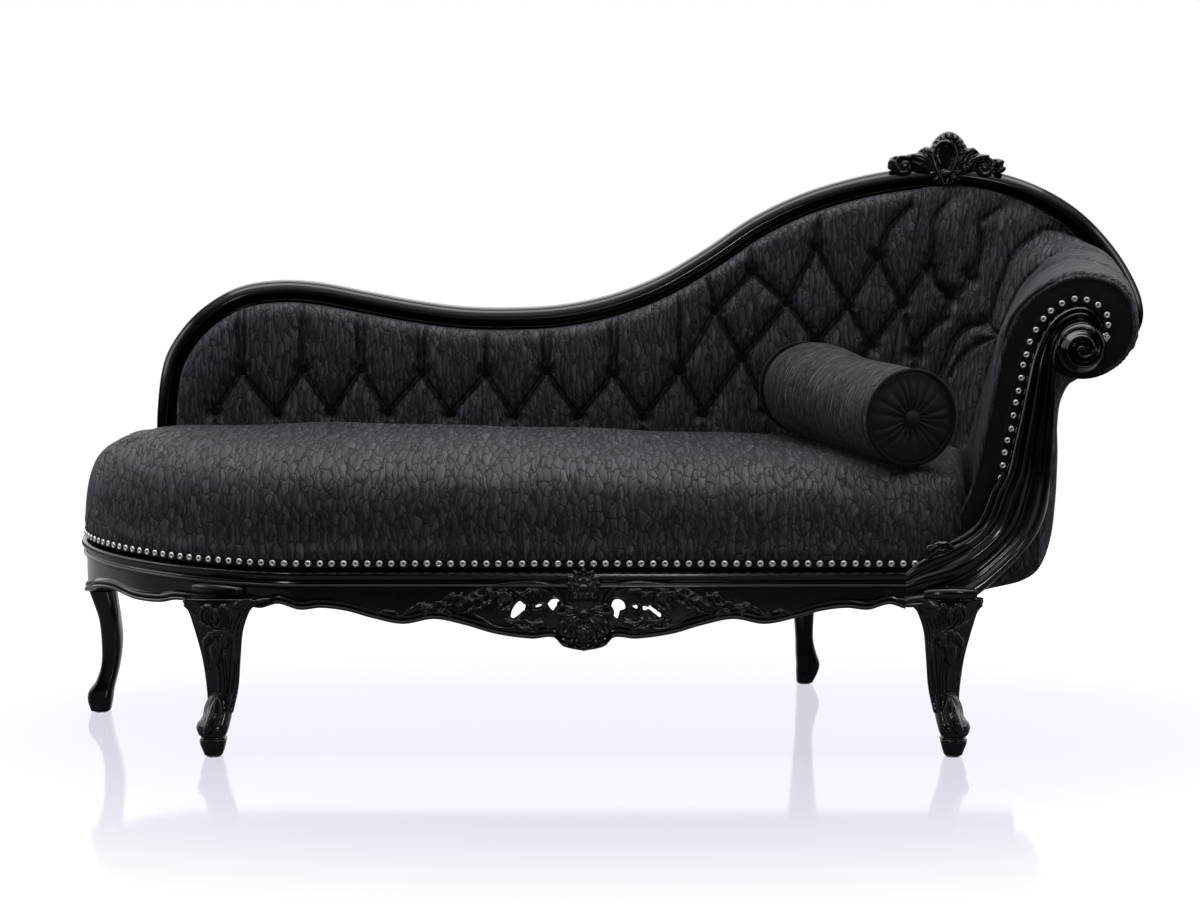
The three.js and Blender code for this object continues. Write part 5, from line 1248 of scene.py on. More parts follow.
# Folds of the arm as (u, v) places, with their depth and the width beside them
ARM_FOLDS = [
    ([(0.06, 0.49), (0.05, 0.56), (0.04, 0.62), (0.04, 0.70), (0.06, 0.80), (0.07, 0.97)],
     (11, 9, 9, 9, 8, 5), 34),
    ([(0.18, 0.44), (0.18, 0.51), (0.16, 0.59), (0.14, 0.66), (0.15, 0.75), (0.16, 0.97)],
     (12, 10, 10, 9, 8, 5), 36),
    ([(0.30, 0.30), (0.30, 0.33), (0.29, 0.38), (0.29, 0.44), (0.28, 0.50), (0.28, 0.56), (0.29, 0.63),
      (0.29, 0.73), (0.31, 0.97)], (13, 12, 12, 11, 11, 10, 10, 9, 4), 40),
    ([(0.42, 0.26), (0.42, 0.38), (0.44, 0.41), (0.48, 0.44), (0.50, 0.48), (0.55, 0.50), (0.60, 0.65),
      (0.62, 0.97)], (12, 12, 12, 11, 10, 9, 8, 4), 42),
    ([(0.60, 0.38), (0.68, 0.43), (0.74, 0.49), (0.79, 0.60), (0.82, 0.76), (0.83, 0.97)], (4, 9, 9, 9, 8, 5), 34),
    ([(0.07, 0.48), (0.09, 0.43), (0.14, 0.38)], (12, 9, 13), 26),
    ([(0.18, 0.44), (0.16, 0.39), (0.14, 0.38)], (12, 10, 13), 24),
    ([(0.06, 0.48), (0.03, 0.44), (0.01, 0.41)], (11, 9, 9), 24),
    ([(0.14, 0.32), (0.10, 0.29), (0.08, 0.26), (0.08, 0.24)], (10, 9, 9, 10), 26),
    ([(0.31, 0.30), (0.22, 0.29), (0.19, 0.26), (0.18, 0.21), (0.16, 0.14)], (12, 10, 9, 8, 6), 28),
    ([(0.30, 0.30), (0.33, 0.28), (0.42, 0.26), (0.61, 0.25)], (12, 10, 9, 3), 26),
    ([(0.02, 0.34), (0.04, 0.29), (0.07, 0.24)], (8, 8, 10), 22),
    ([(0.42, 0.26), (0.29, 0.24), (0.23, 0.21), (0.21, 0.17)], (9, 6, 5, 4), 22),
    ([(0.14, 0.38), (0.13, 0.32)], (12, 10), 24),
    ([(0.42, 0.26), (0.41, 0.15), (0.40, 0.02)], (10, 7, 5), 34),
    ([(0.08, 0.24), (0.07, 0.1), (0.07, 0.0)], (10, 7, 5), 26),
]
ARM_BUTTONS = [(0.055, 0.475), (0.18, 0.44), (0.14, 0.38), (0.30, 0.30), (0.075, 0.23)]


def arm_folds():
    lines = [([arm_point(*place) for place in places], np.array(deep) * 1.35, wide)
             for places, deep, wide in ARM_FOLDS]
    return Folds(lines, [arm_point(*place) for place in ARM_BUTTONS])


BACK_FOLDS = back_folds()
SEWN_ON_ARM = arm_folds()


def surface_way(grid):
    """The way outwards at each point of a net."""
    return unit(np.cross(np.gradient(grid, axis=0), np.gradient(grid, axis=1)))


def arm_pad():
    """The padding of the arm, folded into channels that fan out from the corner and roll over the top."""
    u, v = np.linspace(0, 1, 351), np.linspace(0, 1, 301)
    base = arm_surface(u, v)
    short = np.maximum(inner_height(base[:, -1, 0]) + 2 - base[:, -1, 2], 0) * (1 - ease(u, 0.28, 0.36))
    base[..., 2] += short[:, None] * ease(v, 0.5, 0.9)[None]
    out = surface_way(base)
    if (out[175, 80] @ np.array([-1.0, 0, 0])) < 0:
        out = -out
    drawn = SEWN_ON_ARM.depth(base.reshape(-1, 3)).reshape(base.shape[:2])
    corner = u < 0.14
    shared = BACK_FOLDS.depth(base[corner][..., [0, 2]].reshape(-1, 2)).reshape(base[corner].shape[:2])
    drawn[corner] = np.maximum(drawn[corner], shared * (1 - ease(base[corner][..., 0] - base[:1, :, 0], 20, 60)))
    vv = np.broadcast_to(v, drawn.shape)
    across = np.linalg.norm(np.diff(base, axis=0, prepend=base[:1]), axis=2).cumsum(0)
    to_front = across[-1:] - across
    rise = np.linalg.norm(np.diff(base, axis=1, prepend=base[:, :1]), axis=2).cumsum(1)
    fade = ease(to_front, 2, 40) * (1 - ease(vv, 0.93, 1))
    brim = 1 - np.minimum(to_front / 12, 1)
    round_in = 9 * (1 - np.sqrt(1 - brim**2 * JUST_UNDER_ONE))
    seam = 1.5 * (1 - np.minimum(across / 8, 1))
    gather = (1.1 * np.sin(rise / 2.6 + 2 * np.sin(rise / 37)) * np.clip(1 - to_front / 26, 0, 1)
              * ease(vv, 0.4, 0.5))
    inward = drawn * fade + round_in + seam * (1 - ease(vv, 0.9, 1)) + gather
    rear = base - out * ARM_PAD_THICK
    front = base - out * inward[..., None]
    held = np.maximum.reduce([ease(inward, 3, 9), 1 - ease(to_front, 4, 30), 1 - ease(across, 3, 20),
                              1 - ease(rise, 4, 24), ease(vv, 0.92, 0.98)])
    front += swell(front, rear, held, 6, 4.5, 6)
    down = np.linspace(116, 5, 12)
    cloth = np.stack([across, rise], 2)
    front = np.concatenate([front[:, :1] - np.multiply.outer(down, [0, 0, 1.0])[None], front], 1)
    rear = np.concatenate([rear[:, :1] - [0, 0, 116.0], rear], 1)
    cloth = np.concatenate([cloth[:, :1] - np.multiply.outer(down, [0, 1.0])[None], cloth], 1) * MM
    for sheet in (front, rear):
        sheet[..., 1] = np.clip(sheet[..., 1], ARM_FRONT_Y, COAT_REAR_Y)
    body, uv = shell(front, rear[:, ::43], cloth)
    piece = new_piece("arm_pad", [body], (ARM_CLOTH, "couch", "brocade"), ["inside_arm_pad"], uv=uv)
    at = [(int(bu * 350 + 0.5), int(bv * 300 + 0.5)) for bu, bv in ARM_BUTTONS]
    return [(front[i, j + len(down)], out[i, j]) for i, j in at]


# ---------------------------------------------------------------- seat
SEAT_END = seat_share(-470) + 0.405


def seat_plan(count=400):
    """The sewn seat's outline: x, y, the way outwards, and how far each point may be drawn in at the top."""
    shares = np.linspace(0.02, SEAT_END, 33)
    shown = seat_edge(shares, 0)
    rows = [(*p, *o, 1.0) for p, o in zip(shown, seat_edge(shares, 1) - shown)]
    rows += [(-800, 250, -0.29, 0.96, 0.6), (-775, 248, 0, 1, 0.25), (-752, 236, 0, 1, 0.15)]
    rows += [(x, 230, 0, 1, 0.12) for x in np.linspace(-735, 470, 8)]
    rows += [(500 + 132 * math.cos(a), 98 + 132 * math.sin(a), math.cos(a), math.sin(a), 0.12)
             for a in np.linspace(math.pi / 2, 0.1, 5)[1:]]
    rows += [(588 + (y - ARM_FRONT_Y) * 0.115, y, 1, 0, free)
             for y, free in zip(np.linspace(98, -262, 6)[1:], np.linspace(0.12, 0.5, 6)[1:])]
    rows += [(560, -286, 0.7, -0.7, 0.8), (520, -297, 0.2, -0.98, 1)]
    return spline(np.array(rows + rows[:1], float), np.linspace(0, 1, count + 1))[:-1]


def seat_crown(x):
    return SEAT_TOP - 4 + 8 * np.exp(-(((x + 430) / 330) ** 2)) - 14 * ease(x, -200, 560)


SEAT_SIDE = [(0, 0), (14, 0), (22, -1.5), (40, -4.5), (70, -6), (100, -3.5), (126, 4), (144, 14), (157, 28),
             (165, 46), (169, 70), (170, 100)]


def seat():
    """The sewn seat: it crowns on top and rolls over its front edge; the nails draw small puckers in its side."""
    plan = seat_plan()
    ground = RAIL_TOP + 0.3
    rings = []
    for up, inset in spline(SEAT_SIDE, np.linspace(0, 1, 34)):
        p = plan[:, :2] - plan[:, 2:4] * (inset * plan[:, 4])[:, None]
        top = seat_crown(p[:, 0]) - ground - (1 - plan[:, 4]) * 2
        rings.append(np.column_stack([p, ground + up / SEAT_SIDE[-1][0] * top]))
    brim = rings[-1]
    spine = np.stack([np.clip(brim[:, 0], -600, 420), np.zeros(len(brim))], 1)
    for share in np.linspace(0.08, 0.99, 12):
        p = blend(brim[:, :2], spine, share)
        rings.append(np.column_stack([p, seat_crown(p[:, 0]) - (1 - plan[:, 4]) * 2 * (1 - share)
                                      + 4 * math.sin(share * math.pi / 2)]))
    piece = placed("seat", made_mesh("seat", [loft(rings)]))
    even_net(piece, 10.5)
    settled(piece)
    x, y, z = drawn_places(piece).T
    held = np.maximum.reduce([1 - ease(z, 322, 352), ease(y, 196, 228),
                              ease(x, 500, 585) * (1 - ease(y, -250, 60)), ease(x, 560, 600)])
    finer(swollen(piece, held, 9, pressure=4))
    places = drawn_places(piece)
    x, y, z = places.T
    shares = np.linspace(0, 1, 1500)
    line = SEAT_LINE.at(shares)
    nearest = np.concatenate([np.argmin(((block[:, None, :2] - line[None]) ** 2).sum(2), 1)
                              for block in np.array_split(places, 60)])
    far = np.linalg.norm(places[:, :2] - line[nearest], axis=1)
    outward = seat_edge(shares, 1)[nearest] - line[nearest]
    run = shares[nearest] * SEAT_LINE.length
    side = np.clip(1 - far / 20, 0, 1) * ease(z, 316, 324)
    pucker = 1.3 * np.cos(2 * np.pi * run / NAIL_PITCH) * np.exp(-np.maximum(z - 322, 0) / 14)
    pull = 1.5 * np.sin(run / 41 + 1.5 * np.sin(run / 133)) * np.sin(np.pi * np.clip((z - 330) / 120, 0, 1))
    places[:, :2] += outward * (side * (pucker + pull))[:, None]
    top = ease(z, 440, 468) * (1 - ease(y, 190, 225))
    places[:, 2] += top * (1.6 * np.sin(x / 83 + 1) * np.sin(y / 61 + x / 240) + 1.1 * np.sin(x / 37 + y / 90))
    set_coordinates(piece.data, (places + SHIFT) * MM)
    finished(piece, SEAT_CLOTH, "couch", "brocade", ["seat_cushion"])


def braid(name, points, across, out, stands_for=()):
    """A narrow braid with a cord along each edge, laid along a line of points."""
    section = [(-0.5, 0), (-0.5, 1.4), (-0.46, 2.2), (-0.38, 2.4), (-0.3, 1.7), (-0.1, 1.5), (0.1, 1.5), (0.3, 1.7),
               (0.38, 2.4), (0.46, 2.2), (0.5, 1.4), (0.5, 0)]
    rings = np.stack([points + across * s + out * h for s, h in section], 1)
    return new_piece(name, [loft(rings)], PLAIN_TRIM, stands_for, crisp=60)


def seat_braid():
    shares = np.linspace(0.004, SEAT_END, 420)
    p = seat_edge(shares, 0.6)
    out = np.column_stack([seat_edge(shares, 1) - seat_edge(shares, 0), np.zeros(len(p))])
    middle = np.column_stack([p, np.full(len(p), NAIL_LINE_Z)])
    braid("seat_braid", middle, np.array([0, 0, 13.0]), out, ["seat_nail_band"])


# ---------------------------------------------------------------- front of the arm
def facing_outline():
    outer = spline([(563, 358), (576, 389), (594, 423), (603, 458), (615, 509), (628, 575), (640, 662), (653, 712),
                    (680, 745), (711, 768)], np.linspace(0, 1, 90))
    a = np.linspace(1.95, -2.55, 90)[1:]
    roll = circle(ROLL_X, ROLL_Z, ROLL_R, a)
    inner = circle(VOLUTE_X, VOLUTE_Z, VOLUTE_R - 3, np.linspace(-2.7, 0.35, 60))
    t = np.linspace(1, 3.4 / 18, 100)
    p = post_edge(0, t)
    d = post_way(t)
    along = p + np.stack([-d[:, 1], d[:, 0]], 1) * blend(0.5, -5, ease(t, 0.47, 0.52))[:, None]
    return np.vstack([outer, roll, inner, along])


def arm_facing():
    """The plain cloth facing round the roll, turned under at its edge."""
    outline = facing_outline()
    way = unit(np.roll(outline, -1, 0) - np.roll(outline, 1, 0))
    out = np.stack([-way[:, 1], way[:, 0]], 1)
    rings = [lifted(outline + out * grow, ARM_FRONT_Y - proud)
             for grow, proud in ((-1.6, 8.2), (-0.5, 7.6), (0, 6.4), (0, 0.3))]
    new_piece("arm_facing_cloth", [loft(rings)], PLAIN_TRIM, ["arm_facing"], crisp=70)


ARM_NAILS = [
    (642.4, 455.2), (645.3, 475.4), (648.1, 496.1), (651.8, 515.9), (657.7, 534.3), (660.9, 556.0), (664.2, 576.6),
    (668.3, 595.4), (672.1, 616.2), (674.7, 637.0), (679.8, 653.5), (684.7, 673.8), (693.9, 693.0), (705.5, 710.5),
    (717.2, 723.3), (734.4, 735.2), (754.1, 742.4), (773.5, 740.8), (791.7, 732.8), (806.3, 716.9), (808.3, 700.9),
]
LAST_NAIL = (804.8, 681.8)
PIPING = [(566, 378), (583, 404), (598, 440), (606, 475), (618, 530), (630, 590), (641, 650), (651.5, 684),
          (664.7, 714), (686.6, 740.4), (715.5, 761.1), (749.7, 774.9), (784.2, 774.9), (818.9, 764.6),
          (841.8, 740.4), (851, 705), (848, 672), (830, 643), (806, 626)]


def arm_trim():
    """The braid under the arm's nails, and the gathered piping round the roll."""
    t = np.linspace(8 / 18, 1, 130)
    p = post_edge(0, t)
    d = post_way(t)
    side = np.stack([-d[:, 1], np.zeros(len(d)), d[:, 0]], 1)
    middle = lifted(p, ARM_FRONT_Y - 8.3) + side * 10
    braid("arm_braid", middle, side * 12, np.array([0, -1.0, 0]), ["arm_nail_band"])
    s = np.linspace(0, 1, 420)
    line = spline(PIPING, s)
    gathers = np.sin(2 * np.pi * s * 86 + 1.5 * np.sin(2 * np.pi * s * 7))
    size = (3.6 + 0.55 * gathers) * (0.6 + 0.4 * ease(s, 0, 0.3))
    cord = rod(lifted(line, ARM_FRONT_Y - 6.5 + 0.5 * gathers), size, sides=10, steps=420)
    new_piece("arm_piping", [cord], BACK_BROCADE)


# ---------------------------------------------------------------- outer covers
OUTER_PROFILE = [(636, 264), (690, 277), (712, 292), (725, 316), (734, 350), (739, 400), (741, 462), (739, 530),
                 (745, 577), (763, 606)]
STUMP_RIGHT_X = 710  # where the cover rounds the front stump of the arm


def arm_cover():
    """The cloth over the outside of the arm, drawn round the frame from behind the post and tacked under the
    roll."""
    y = np.concatenate([POST_REAR_Y + np.linspace(-2.4, -0.4, 8), np.linspace(POST_REAR_Y + 0.5, BACK_Y + 8, 172)])
    rows = np.linspace(0, 1, 120)
    under = arm_surface(np.linspace(1, 0.42, 120), np.array([1.0]))[:, 0]
    post = np.vstack([[(560, 236)], POST[1:14, 1]])
    columns = []
    for depth in y:
        end = np.array([np.interp(depth, under[:, 1], under[:, k]) for k in (0, 2)]) + [-6, 8]
        line = [(x - 8 + (depth - ARM_FRONT_Y) * ARM_FLARE, z) for x, z in OUTER_PROFILE]
        profile = spline(line + [tuple(end)], rows)
        hugging = np.interp(profile[:, 1], post[:, 1], post[:, 0]) - 5
        round_stump = np.maximum(hugging, STUMP_RIGHT_X - 300 * ease(profile[:, 1], 306, 284))
        x = blend(np.minimum(hugging, profile[:, 0]), np.minimum(round_stump, profile[:, 0] + 4),
                  float(ease(depth, y[0], y[7])))
        turn = math.sin(math.pi / 2 * min(max((depth - y[7]) / 40, 0), 1))
        x = blend(x, profile[:, 0], turn ** 0.8)
        forward = 22 * ease(profile[:, 1], 455, 530) * (1 - float(ease(depth, y[0], -180)))
        columns.append(np.stack([x, depth - forward, profile[:, 1]], 1))
    front = np.stack(columns)
    inner = front - [6, 0, 0]
    run = np.linspace(0, 1, len(y))[:, None]
    taut = np.sin(np.pi * rows)[None] * np.sin(np.pi * run)
    wave = np.sin(y[:, None] / 23 + rows[None] * 5 + 1.2 * np.sin(y[:, None] / 61))
    gathers = np.sin(y[:, None] / 3.1) * np.exp(-(1 - rows[None]) * 18)
    front[..., 0] += taut * (1.5 + 0.8 * wave) + 0.7 * gathers * ease(run, 0.1, 0.2)
    body, _ = shell(front, inner[:, ::17])
    new_piece("arm_cover", [body], (OUTSIDE_CLOTH, "couch", "brocade"), ["outside_arm_panel"])
    rings = [[(x + (depth - ARM_FRONT_Y) * ARM_FLARE, depth, z) for x, z in
              ((630, 270), (660, 270), (672, 280), (686, 294), (689, 306), (687, 308), (630, 308))]
             for depth in np.linspace(-190, 243.7, 12)]
    new_piece("end_rail", [loft(rings)], (BEECH, "couch", "frame_timber"), ["head_end_rail"], crisp=40)


def back_cover():
    """The plain cloth over the outside of the back, with a cord sewn round its edge."""
    top = back_points(np.linspace(0.09, 0.995, 260), -BACK_RAIL_WIDE + 6, 0)[:, [0, 2]]
    right = [(x - 18 + (REAR_Y - ARM_FRONT_Y) * ARM_FLARE, z)
             for x, z in reversed(OUTER_PROFILE) if RAIL_TOP < z < 590]
    outline = np.vstack([[(-753, 308.5)], top, right, [(770, 308.5)]])
    piece = placed("back_cover", made_mesh("back_cover", [board(outline, 289.5, 298.5)]))
    even_net(piece, 8)
    soft = piece.modifiers.new("softened", "SMOOTH")
    soft.iterations = 4
    settled(piece)
    places = drawn_places(piece)
    x, y, z = places.T
    edge = np.min([np.linalg.norm(places[:, [0, 2]] - p, axis=1) for p in outline[::3]], axis=0)
    edge = np.minimum(edge, z - RAIL_TOP)
    swell_out = ease(edge, 0, 120) * (2.5 + 0.8 * np.sin(x / 47 + 1.4 * np.sin(z / 60))
                                      + 0.5 * np.sin(x / 19 + z / 33))
    places[:, 1] += np.where(y > 293, swell_out, 0)
    set_coordinates(piece.data, (places + SHIFT) * MM)
    finished(piece, *PLAIN_TRIM, ["outside_back_panel"])
    inset = outline.mean(0) + (outline - outline.mean(0)) * 0.992
    cord = rod(lifted(inset, 297.5), 3.2, sides=8, steps=len(inset) * 2, up=(0, 1, 0))
    new_piece("back_cord", [cord], PLAIN_TRIM)


def dust_cover():
    """The lining under the seat, stapled to the rails and sagging slightly between them."""
    shares = np.linspace(0.02, 0.965, 500)
    edge = seat_edge(shares, -RAIL_THICK - 3)
    turn = int(np.argmin(edge[:, 0]))
    tip = edge[turn, 0]
    x = np.concatenate([tip + 120 * np.linspace(0, 1, 24) ** 2, np.linspace(tip + 132, 596, 60)])
    front = np.interp(x, edge[:turn + 1, 0][::-1], edge[:turn + 1, 1][::-1])
    front = np.where(x > 470, blend(-251, -200, (x - 470) / 130), front)
    rear = np.interp(x, edge[turn:, 0], edge[turn:, 1], right=241)
    share = np.linspace(0, 1, 36)
    y = blend(front[:, None], rear[:, None], share[None])
    sag = 5 * np.sin(np.pi * share)[None] * ease(x, x[0], x[0] + 200)[:, None] * (1 - ease(x, 450, 596))[:, None]
    sag = sag * (1 + 0.15 * np.sin(x / 31)[:, None])
    low = np.stack([np.broadcast_to(x[:, None], y.shape), y, 262 - sag], 2)
    new_piece("seat_lining", [quilt(low, low + [0, 0, 1.2])], (LINING, "couch", "lining"), ["dust_cover"])


# ---------------------------------------------------------------- bolster
BOLSTER_NEAR, BOLSTER_FAR = np.array([502.0, -250.0, 548.3]), np.array([352.0, 172.0, 548.3])
BOLSTER_R = 81
BOLSTER_LONG = float(np.linalg.norm(BOLSTER_FAR - BOLSTER_NEAR))
AXIS = (BOLSTER_FAR - BOLSTER_NEAR) / BOLSTER_LONG
SIDEWAYS, UP = np.array([AXIS[1], -AXIS[0], 0.0]), np.array([0, 0, 1.0])


def turned(along, radius, angle):
    """Points round the bolster's axis, along measured from its middle. Its far end lies a little higher."""
    along, radius, angle = np.broadcast_arrays(along, radius, angle)
    middle = (BOLSTER_NEAR + BOLSTER_FAR) / 2
    rise = 7 * ease(along, -60, 190)
    return (middle + along[..., None] * AXIS + (radius * np.cos(angle))[..., None] * SIDEWAYS
            + (radius * np.sin(angle) + rise)[..., None] * UP)


def bolster_sleeve():
    """The bolster's sleeve, a tube of brocade that the filling rounds out."""
    end = BOLSTER_LONG / 2 - 8
    a = around(128)
    s = np.linspace(-1, 1, 96)
    outer_r = (BOLSTER_R - 1.5 - 3 * np.abs(s) ** 6 + 5 * np.exp(-((s - 0.62) / 0.3) ** 2)
               - 1.5 * np.exp(-((s + 0.1) / 0.35) ** 2) - 4 * ease(s, 0.8, 1) ** 2)
    inner_s = np.linspace(1, -1, 12)
    along = np.concatenate([s, inner_s]) * end
    radius = np.concatenate([outer_r, np.full(12, BOLSTER_R - 8.5)])
    rings = turned(along[None], radius[None], a[:, None])
    cloth = np.stack(np.broadcast_arrays(along[None] * MM, a[:, None] * BOLSTER_R * MM), 2).reshape(-1, 2)
    piece = placed("bolster_cloth", made_mesh("bolster_cloth", [loft(rings, joined=True)], cloth))
    held = np.broadcast_to(np.concatenate([ease(np.abs(s), 0.86, 1), np.ones(12)]), (128, 108)).ravel()
    finer(swollen(piece, held, 2, pressure=3))
    finished(piece, BOLSTER_CLOTH, "bolster", "brocade", ["bolster_sleeve"])


# The side of the covered button in the middle of each end, as (radius, out)
KNOB_SIDE = [(0.4, 8.6), (3, 8.4), (6, 7.7), (8.6, 6.5), (10.8, 4.9), (12.4, 3), (13, 1), (12.4, -0.8), (9, -1.5),
             (0.4, -1.5)]


def bolster_ends():
    for place, hand in (("near", -1), ("far", 1)):
        half = BOLSTER_LONG / 2
        a = around(320)
        r = np.concatenate([[1.0, 6], np.linspace(11, BOLSTER_R - 8.5, 44)])
        share = (r - 11) / (BOLSTER_R - 19.5)
        uneven = a * 19 + 1.3 * np.sin(3 * a + 1) + 0.7 * np.sin(7 * a)
        crease = 1 - np.abs(np.sin(uneven / 2)) ** 0.5
        reach = 0.8 + 0.28 * np.sin(5 * a + 2) * np.sin(2 * a)
        body = 7 + 5.5 * np.sin(np.pi * np.clip(share, 0, 1)) - 6 * np.clip(share, 0, 1) ** 3
        deep = (np.clip(reach[None] + 0.3 - share[:, None], 0, 1) ** 0.6
                * np.clip(share * 9 + 0.5, 0, 1)[:, None] * 8.5)
        face = body[:, None] - deep * crease[None] + 0.5 * np.sin(a * 11)[None] * share[:, None].clip(0, 1)
        face[:2] = 3
        outer = turned(hand * (half - 8 + face), r[:, None], a[None])
        back = turned(np.full((2, 320), hand * (half - 13.0)), np.array([[BOLSTER_R - 9.0], [1.0]]), a[None])
        rings = np.concatenate([outer, back])
        piece = new_piece(f"bolster_{place}", [loft(rings)], SATIN_ENDS, [f"bolster_end_{place}"])
        turn = around(240)
        centre = turned(np.full(240, hand * (half - 3.6)), np.full(240, BOLSTER_R - 4.4), turn)
        outward = unit(turned(0.0, np.full(240, 10.0), turn) - turned(0.0, np.zeros(240), turn))
        b = around(12)
        thick = 3.9 + 0.12 * np.sin(turn * 40)
        cord = (centre[:, None] + thick[:, None, None] * (np.cos(b)[None, :, None] * outward[:, None]
                                                          + np.sin(b)[None, :, None] * AXIS))
        new_piece(f"bolster_cord_{place}", [loft(cord, joined=True)], (PLAIN, "bolster", "brocade"),
                  [f"bolster_welt_{place}"])
        rr, up = spline(KNOB_SIDE, np.linspace(0, 1, 30)).T
        rings = turned(hand * (half - 0.5 + up[:, None]), np.maximum(rr, 0.3)[:, None], turn[None, ::6])
        new_piece(f"bolster_knob_{place}", [loft(rings)], SATIN_ENDS, [f"bolster_button_{place}"])


# ---------------------------------------------------------------- nails and covered buttons
def set_out(name, places, ways, tree, sizes):
    """Sets a small shape on every place, facing its own way, and makes one plain mesh of them."""
    mesh = bpy.data.meshes.new(name)
    mesh.from_pydata(in_part(places).tolist(), [], [])
    facing = mesh.attributes.new("facing", "FLOAT_VECTOR", "POINT")
    facing.data.foreach_set("vector", np.asarray(ways, np.float32).ravel())
    piece = placed(name, mesh)
    maker = piece.modifiers.new(name, "NODES")
    maker.node_group = tree
    for item in tree.interface.items_tree:
        if item.name in sizes:
            maker[item.identifier] = sizes[item.name]
    return settled(piece)


def new_tree(name, sizes):
    tree = bpy.data.node_groups.new(name, "GeometryNodeTree")
    tree.interface.new_socket("Places", in_out="INPUT", socket_type="NodeSocketGeometry")
    for size, usual in sizes.items():
        tree.interface.new_socket(size, in_out="INPUT", socket_type="NodeSocketFloat").default_value = usual
    tree.interface.new_socket("Made", in_out="OUTPUT", socket_type="NodeSocketGeometry")
    return tree, add(tree, "NodeGroupInput").outputs


def placed_on_points(tree, given, shape):
    """Puts the shape on every place, turned so that it faces as the place says."""
    facing = add(tree, "GeometryNodeInputNamedAttribute", {"Name": "facing"}, data_type="FLOAT_VECTOR").outputs[0]
    turn = add(tree, "FunctionNodeAlignRotationToVector", {"Vector": facing}, axis="Z").outputs[0]
    set_down = add(tree, "GeometryNodeInstanceOnPoints", {"Points": given["Places"], "Instance": shape,
                                                          "Rotation": turn}).outputs[0]
    return add(tree, "GeometryNodeRealizeInstances", {"Geometry": set_down}).outputs[0]


def nail_tree():
    """An upholstery nail: a bright rim round a dark glass centre."""
    tree, given = new_tree("bright nails", {"Rim radius": 0.0034, "Rim thickness": 0.0022,
                                            "Centre radius": 0.0021})
    ring = add(tree, "GeometryNodeCurvePrimitiveCircle", {"Resolution": 14,
                                                          "Radius": given["Rim radius"]}).outputs[0]
    wire = add(tree, "GeometryNodeCurvePrimitiveCircle", {"Resolution": 6,
                                                          "Radius": given["Rim thickness"]}).outputs[0]
    rim = add(tree, "GeometryNodeCurveToMesh", {"Curve": ring, "Profile Curve": wire}).outputs[0]
    ball = add(tree, "GeometryNodeMeshUVSphere", {"Segments": 8, "Rings": 5,
                                                  "Radius": given["Centre radius"]}).outputs[0]
    flat = add(tree, "GeometryNodeTransform", {"Geometry": ball, "Scale": (1, 1, 0.55)}).outputs[0]
    marked = add(tree, "GeometryNodeStoreNamedAttribute", {"Geometry": flat, "Name": "centre", "Value": True},
                 data_type="BOOLEAN", domain="FACE").outputs[0]
    both = add(tree, "GeometryNodeJoinGeometry")
    tree.links.new(rim, both.inputs[0])
    tree.links.new(marked, both.inputs[0])
    real = placed_on_points(tree, given, both.outputs[0])
    bright = add(tree, "GeometryNodeSetMaterial", {"Geometry": real, "Material": NICKEL}).outputs[0]
    chosen = add(tree, "GeometryNodeInputNamedAttribute", {"Name": "centre"}, data_type="BOOLEAN").outputs[0]
    dark = add(tree, "GeometryNodeSetMaterial", {"Geometry": bright, "Selection": chosen,
                                                 "Material": NAIL_CORE}).outputs[0]
    add(tree, "NodeGroupOutput", {0: dark})
    return tree


def button_tree(cloth):
    """A button covered in black cloth."""
    tree, given = new_tree("covered buttons", {"Radius": 0.011, "Flatness": 0.45})
    ball = add(tree, "GeometryNodeMeshUVSphere", {"Segments": 18, "Rings": 9,
                                                  "Radius": given["Radius"]}).outputs[0]
    scale = add(tree, "ShaderNodeCombineXYZ", {"X": 1.0, "Y": 1.0, "Z": given["Flatness"]}).outputs[0]
    flat = add(tree, "GeometryNodeTransform", {"Geometry": ball, "Scale": scale}).outputs[0]
    real = placed_on_points(tree, given, flat)
    cover = add(tree, "GeometryNodeSetMaterial", {"Geometry": real, "Material": cloth}).outputs[0]
    add(tree, "NodeGroupOutput", {0: cover})
    return tree


def seat_nails(tree):
    start = 508.0
    line = Run(np.vstack([[(start, FRONT_Y)], SEAT_LINE.points[SEAT_LINE.far / SEAT_LINE.length < SEAT_END]]))
    count = int(line.length / NAIL_PITCH)
    shares = (np.arange(count) + 0.2) / count
    p, d = line.at(shares), line.way(shares, 1e-3)
    out = np.column_stack([-d[:, 1], d[:, 0], np.zeros(count)])
    places = np.column_stack([p, np.full(count, NAIL_LINE_Z)]) + out * 2.6
    piece = set_out("seat_nails", places, out, tree, {"Rim radius": 0.0034})
    finished(piece, *NAILED)


def arm_nails(tree):
    places = lifted(ARM_NAILS, ARM_FRONT_Y - 11.2)
    ways = np.tile([0.0, -1.0, 0.0], (len(places), 1))
    piece = set_out("arm_nails", places, ways, tree, {"Rim radius": 0.0032})
    finished(piece, *NAILED)
    x, z = LAST_NAIL
    petals = [(x + 4.2 * math.cos(a), z + 4.2 * math.sin(a)) for a in np.linspace(0, 2 * np.pi, 6)[:-1]]
    piece = set_out("arm_last_nail", lifted(petals, ARM_FRONT_Y - 11), ways[:5], tree,
                    {"Rim radius": 0.0019, "Rim thickness": 0.0014, "Centre radius": 0.0012})
    finished(piece, *NAILED)


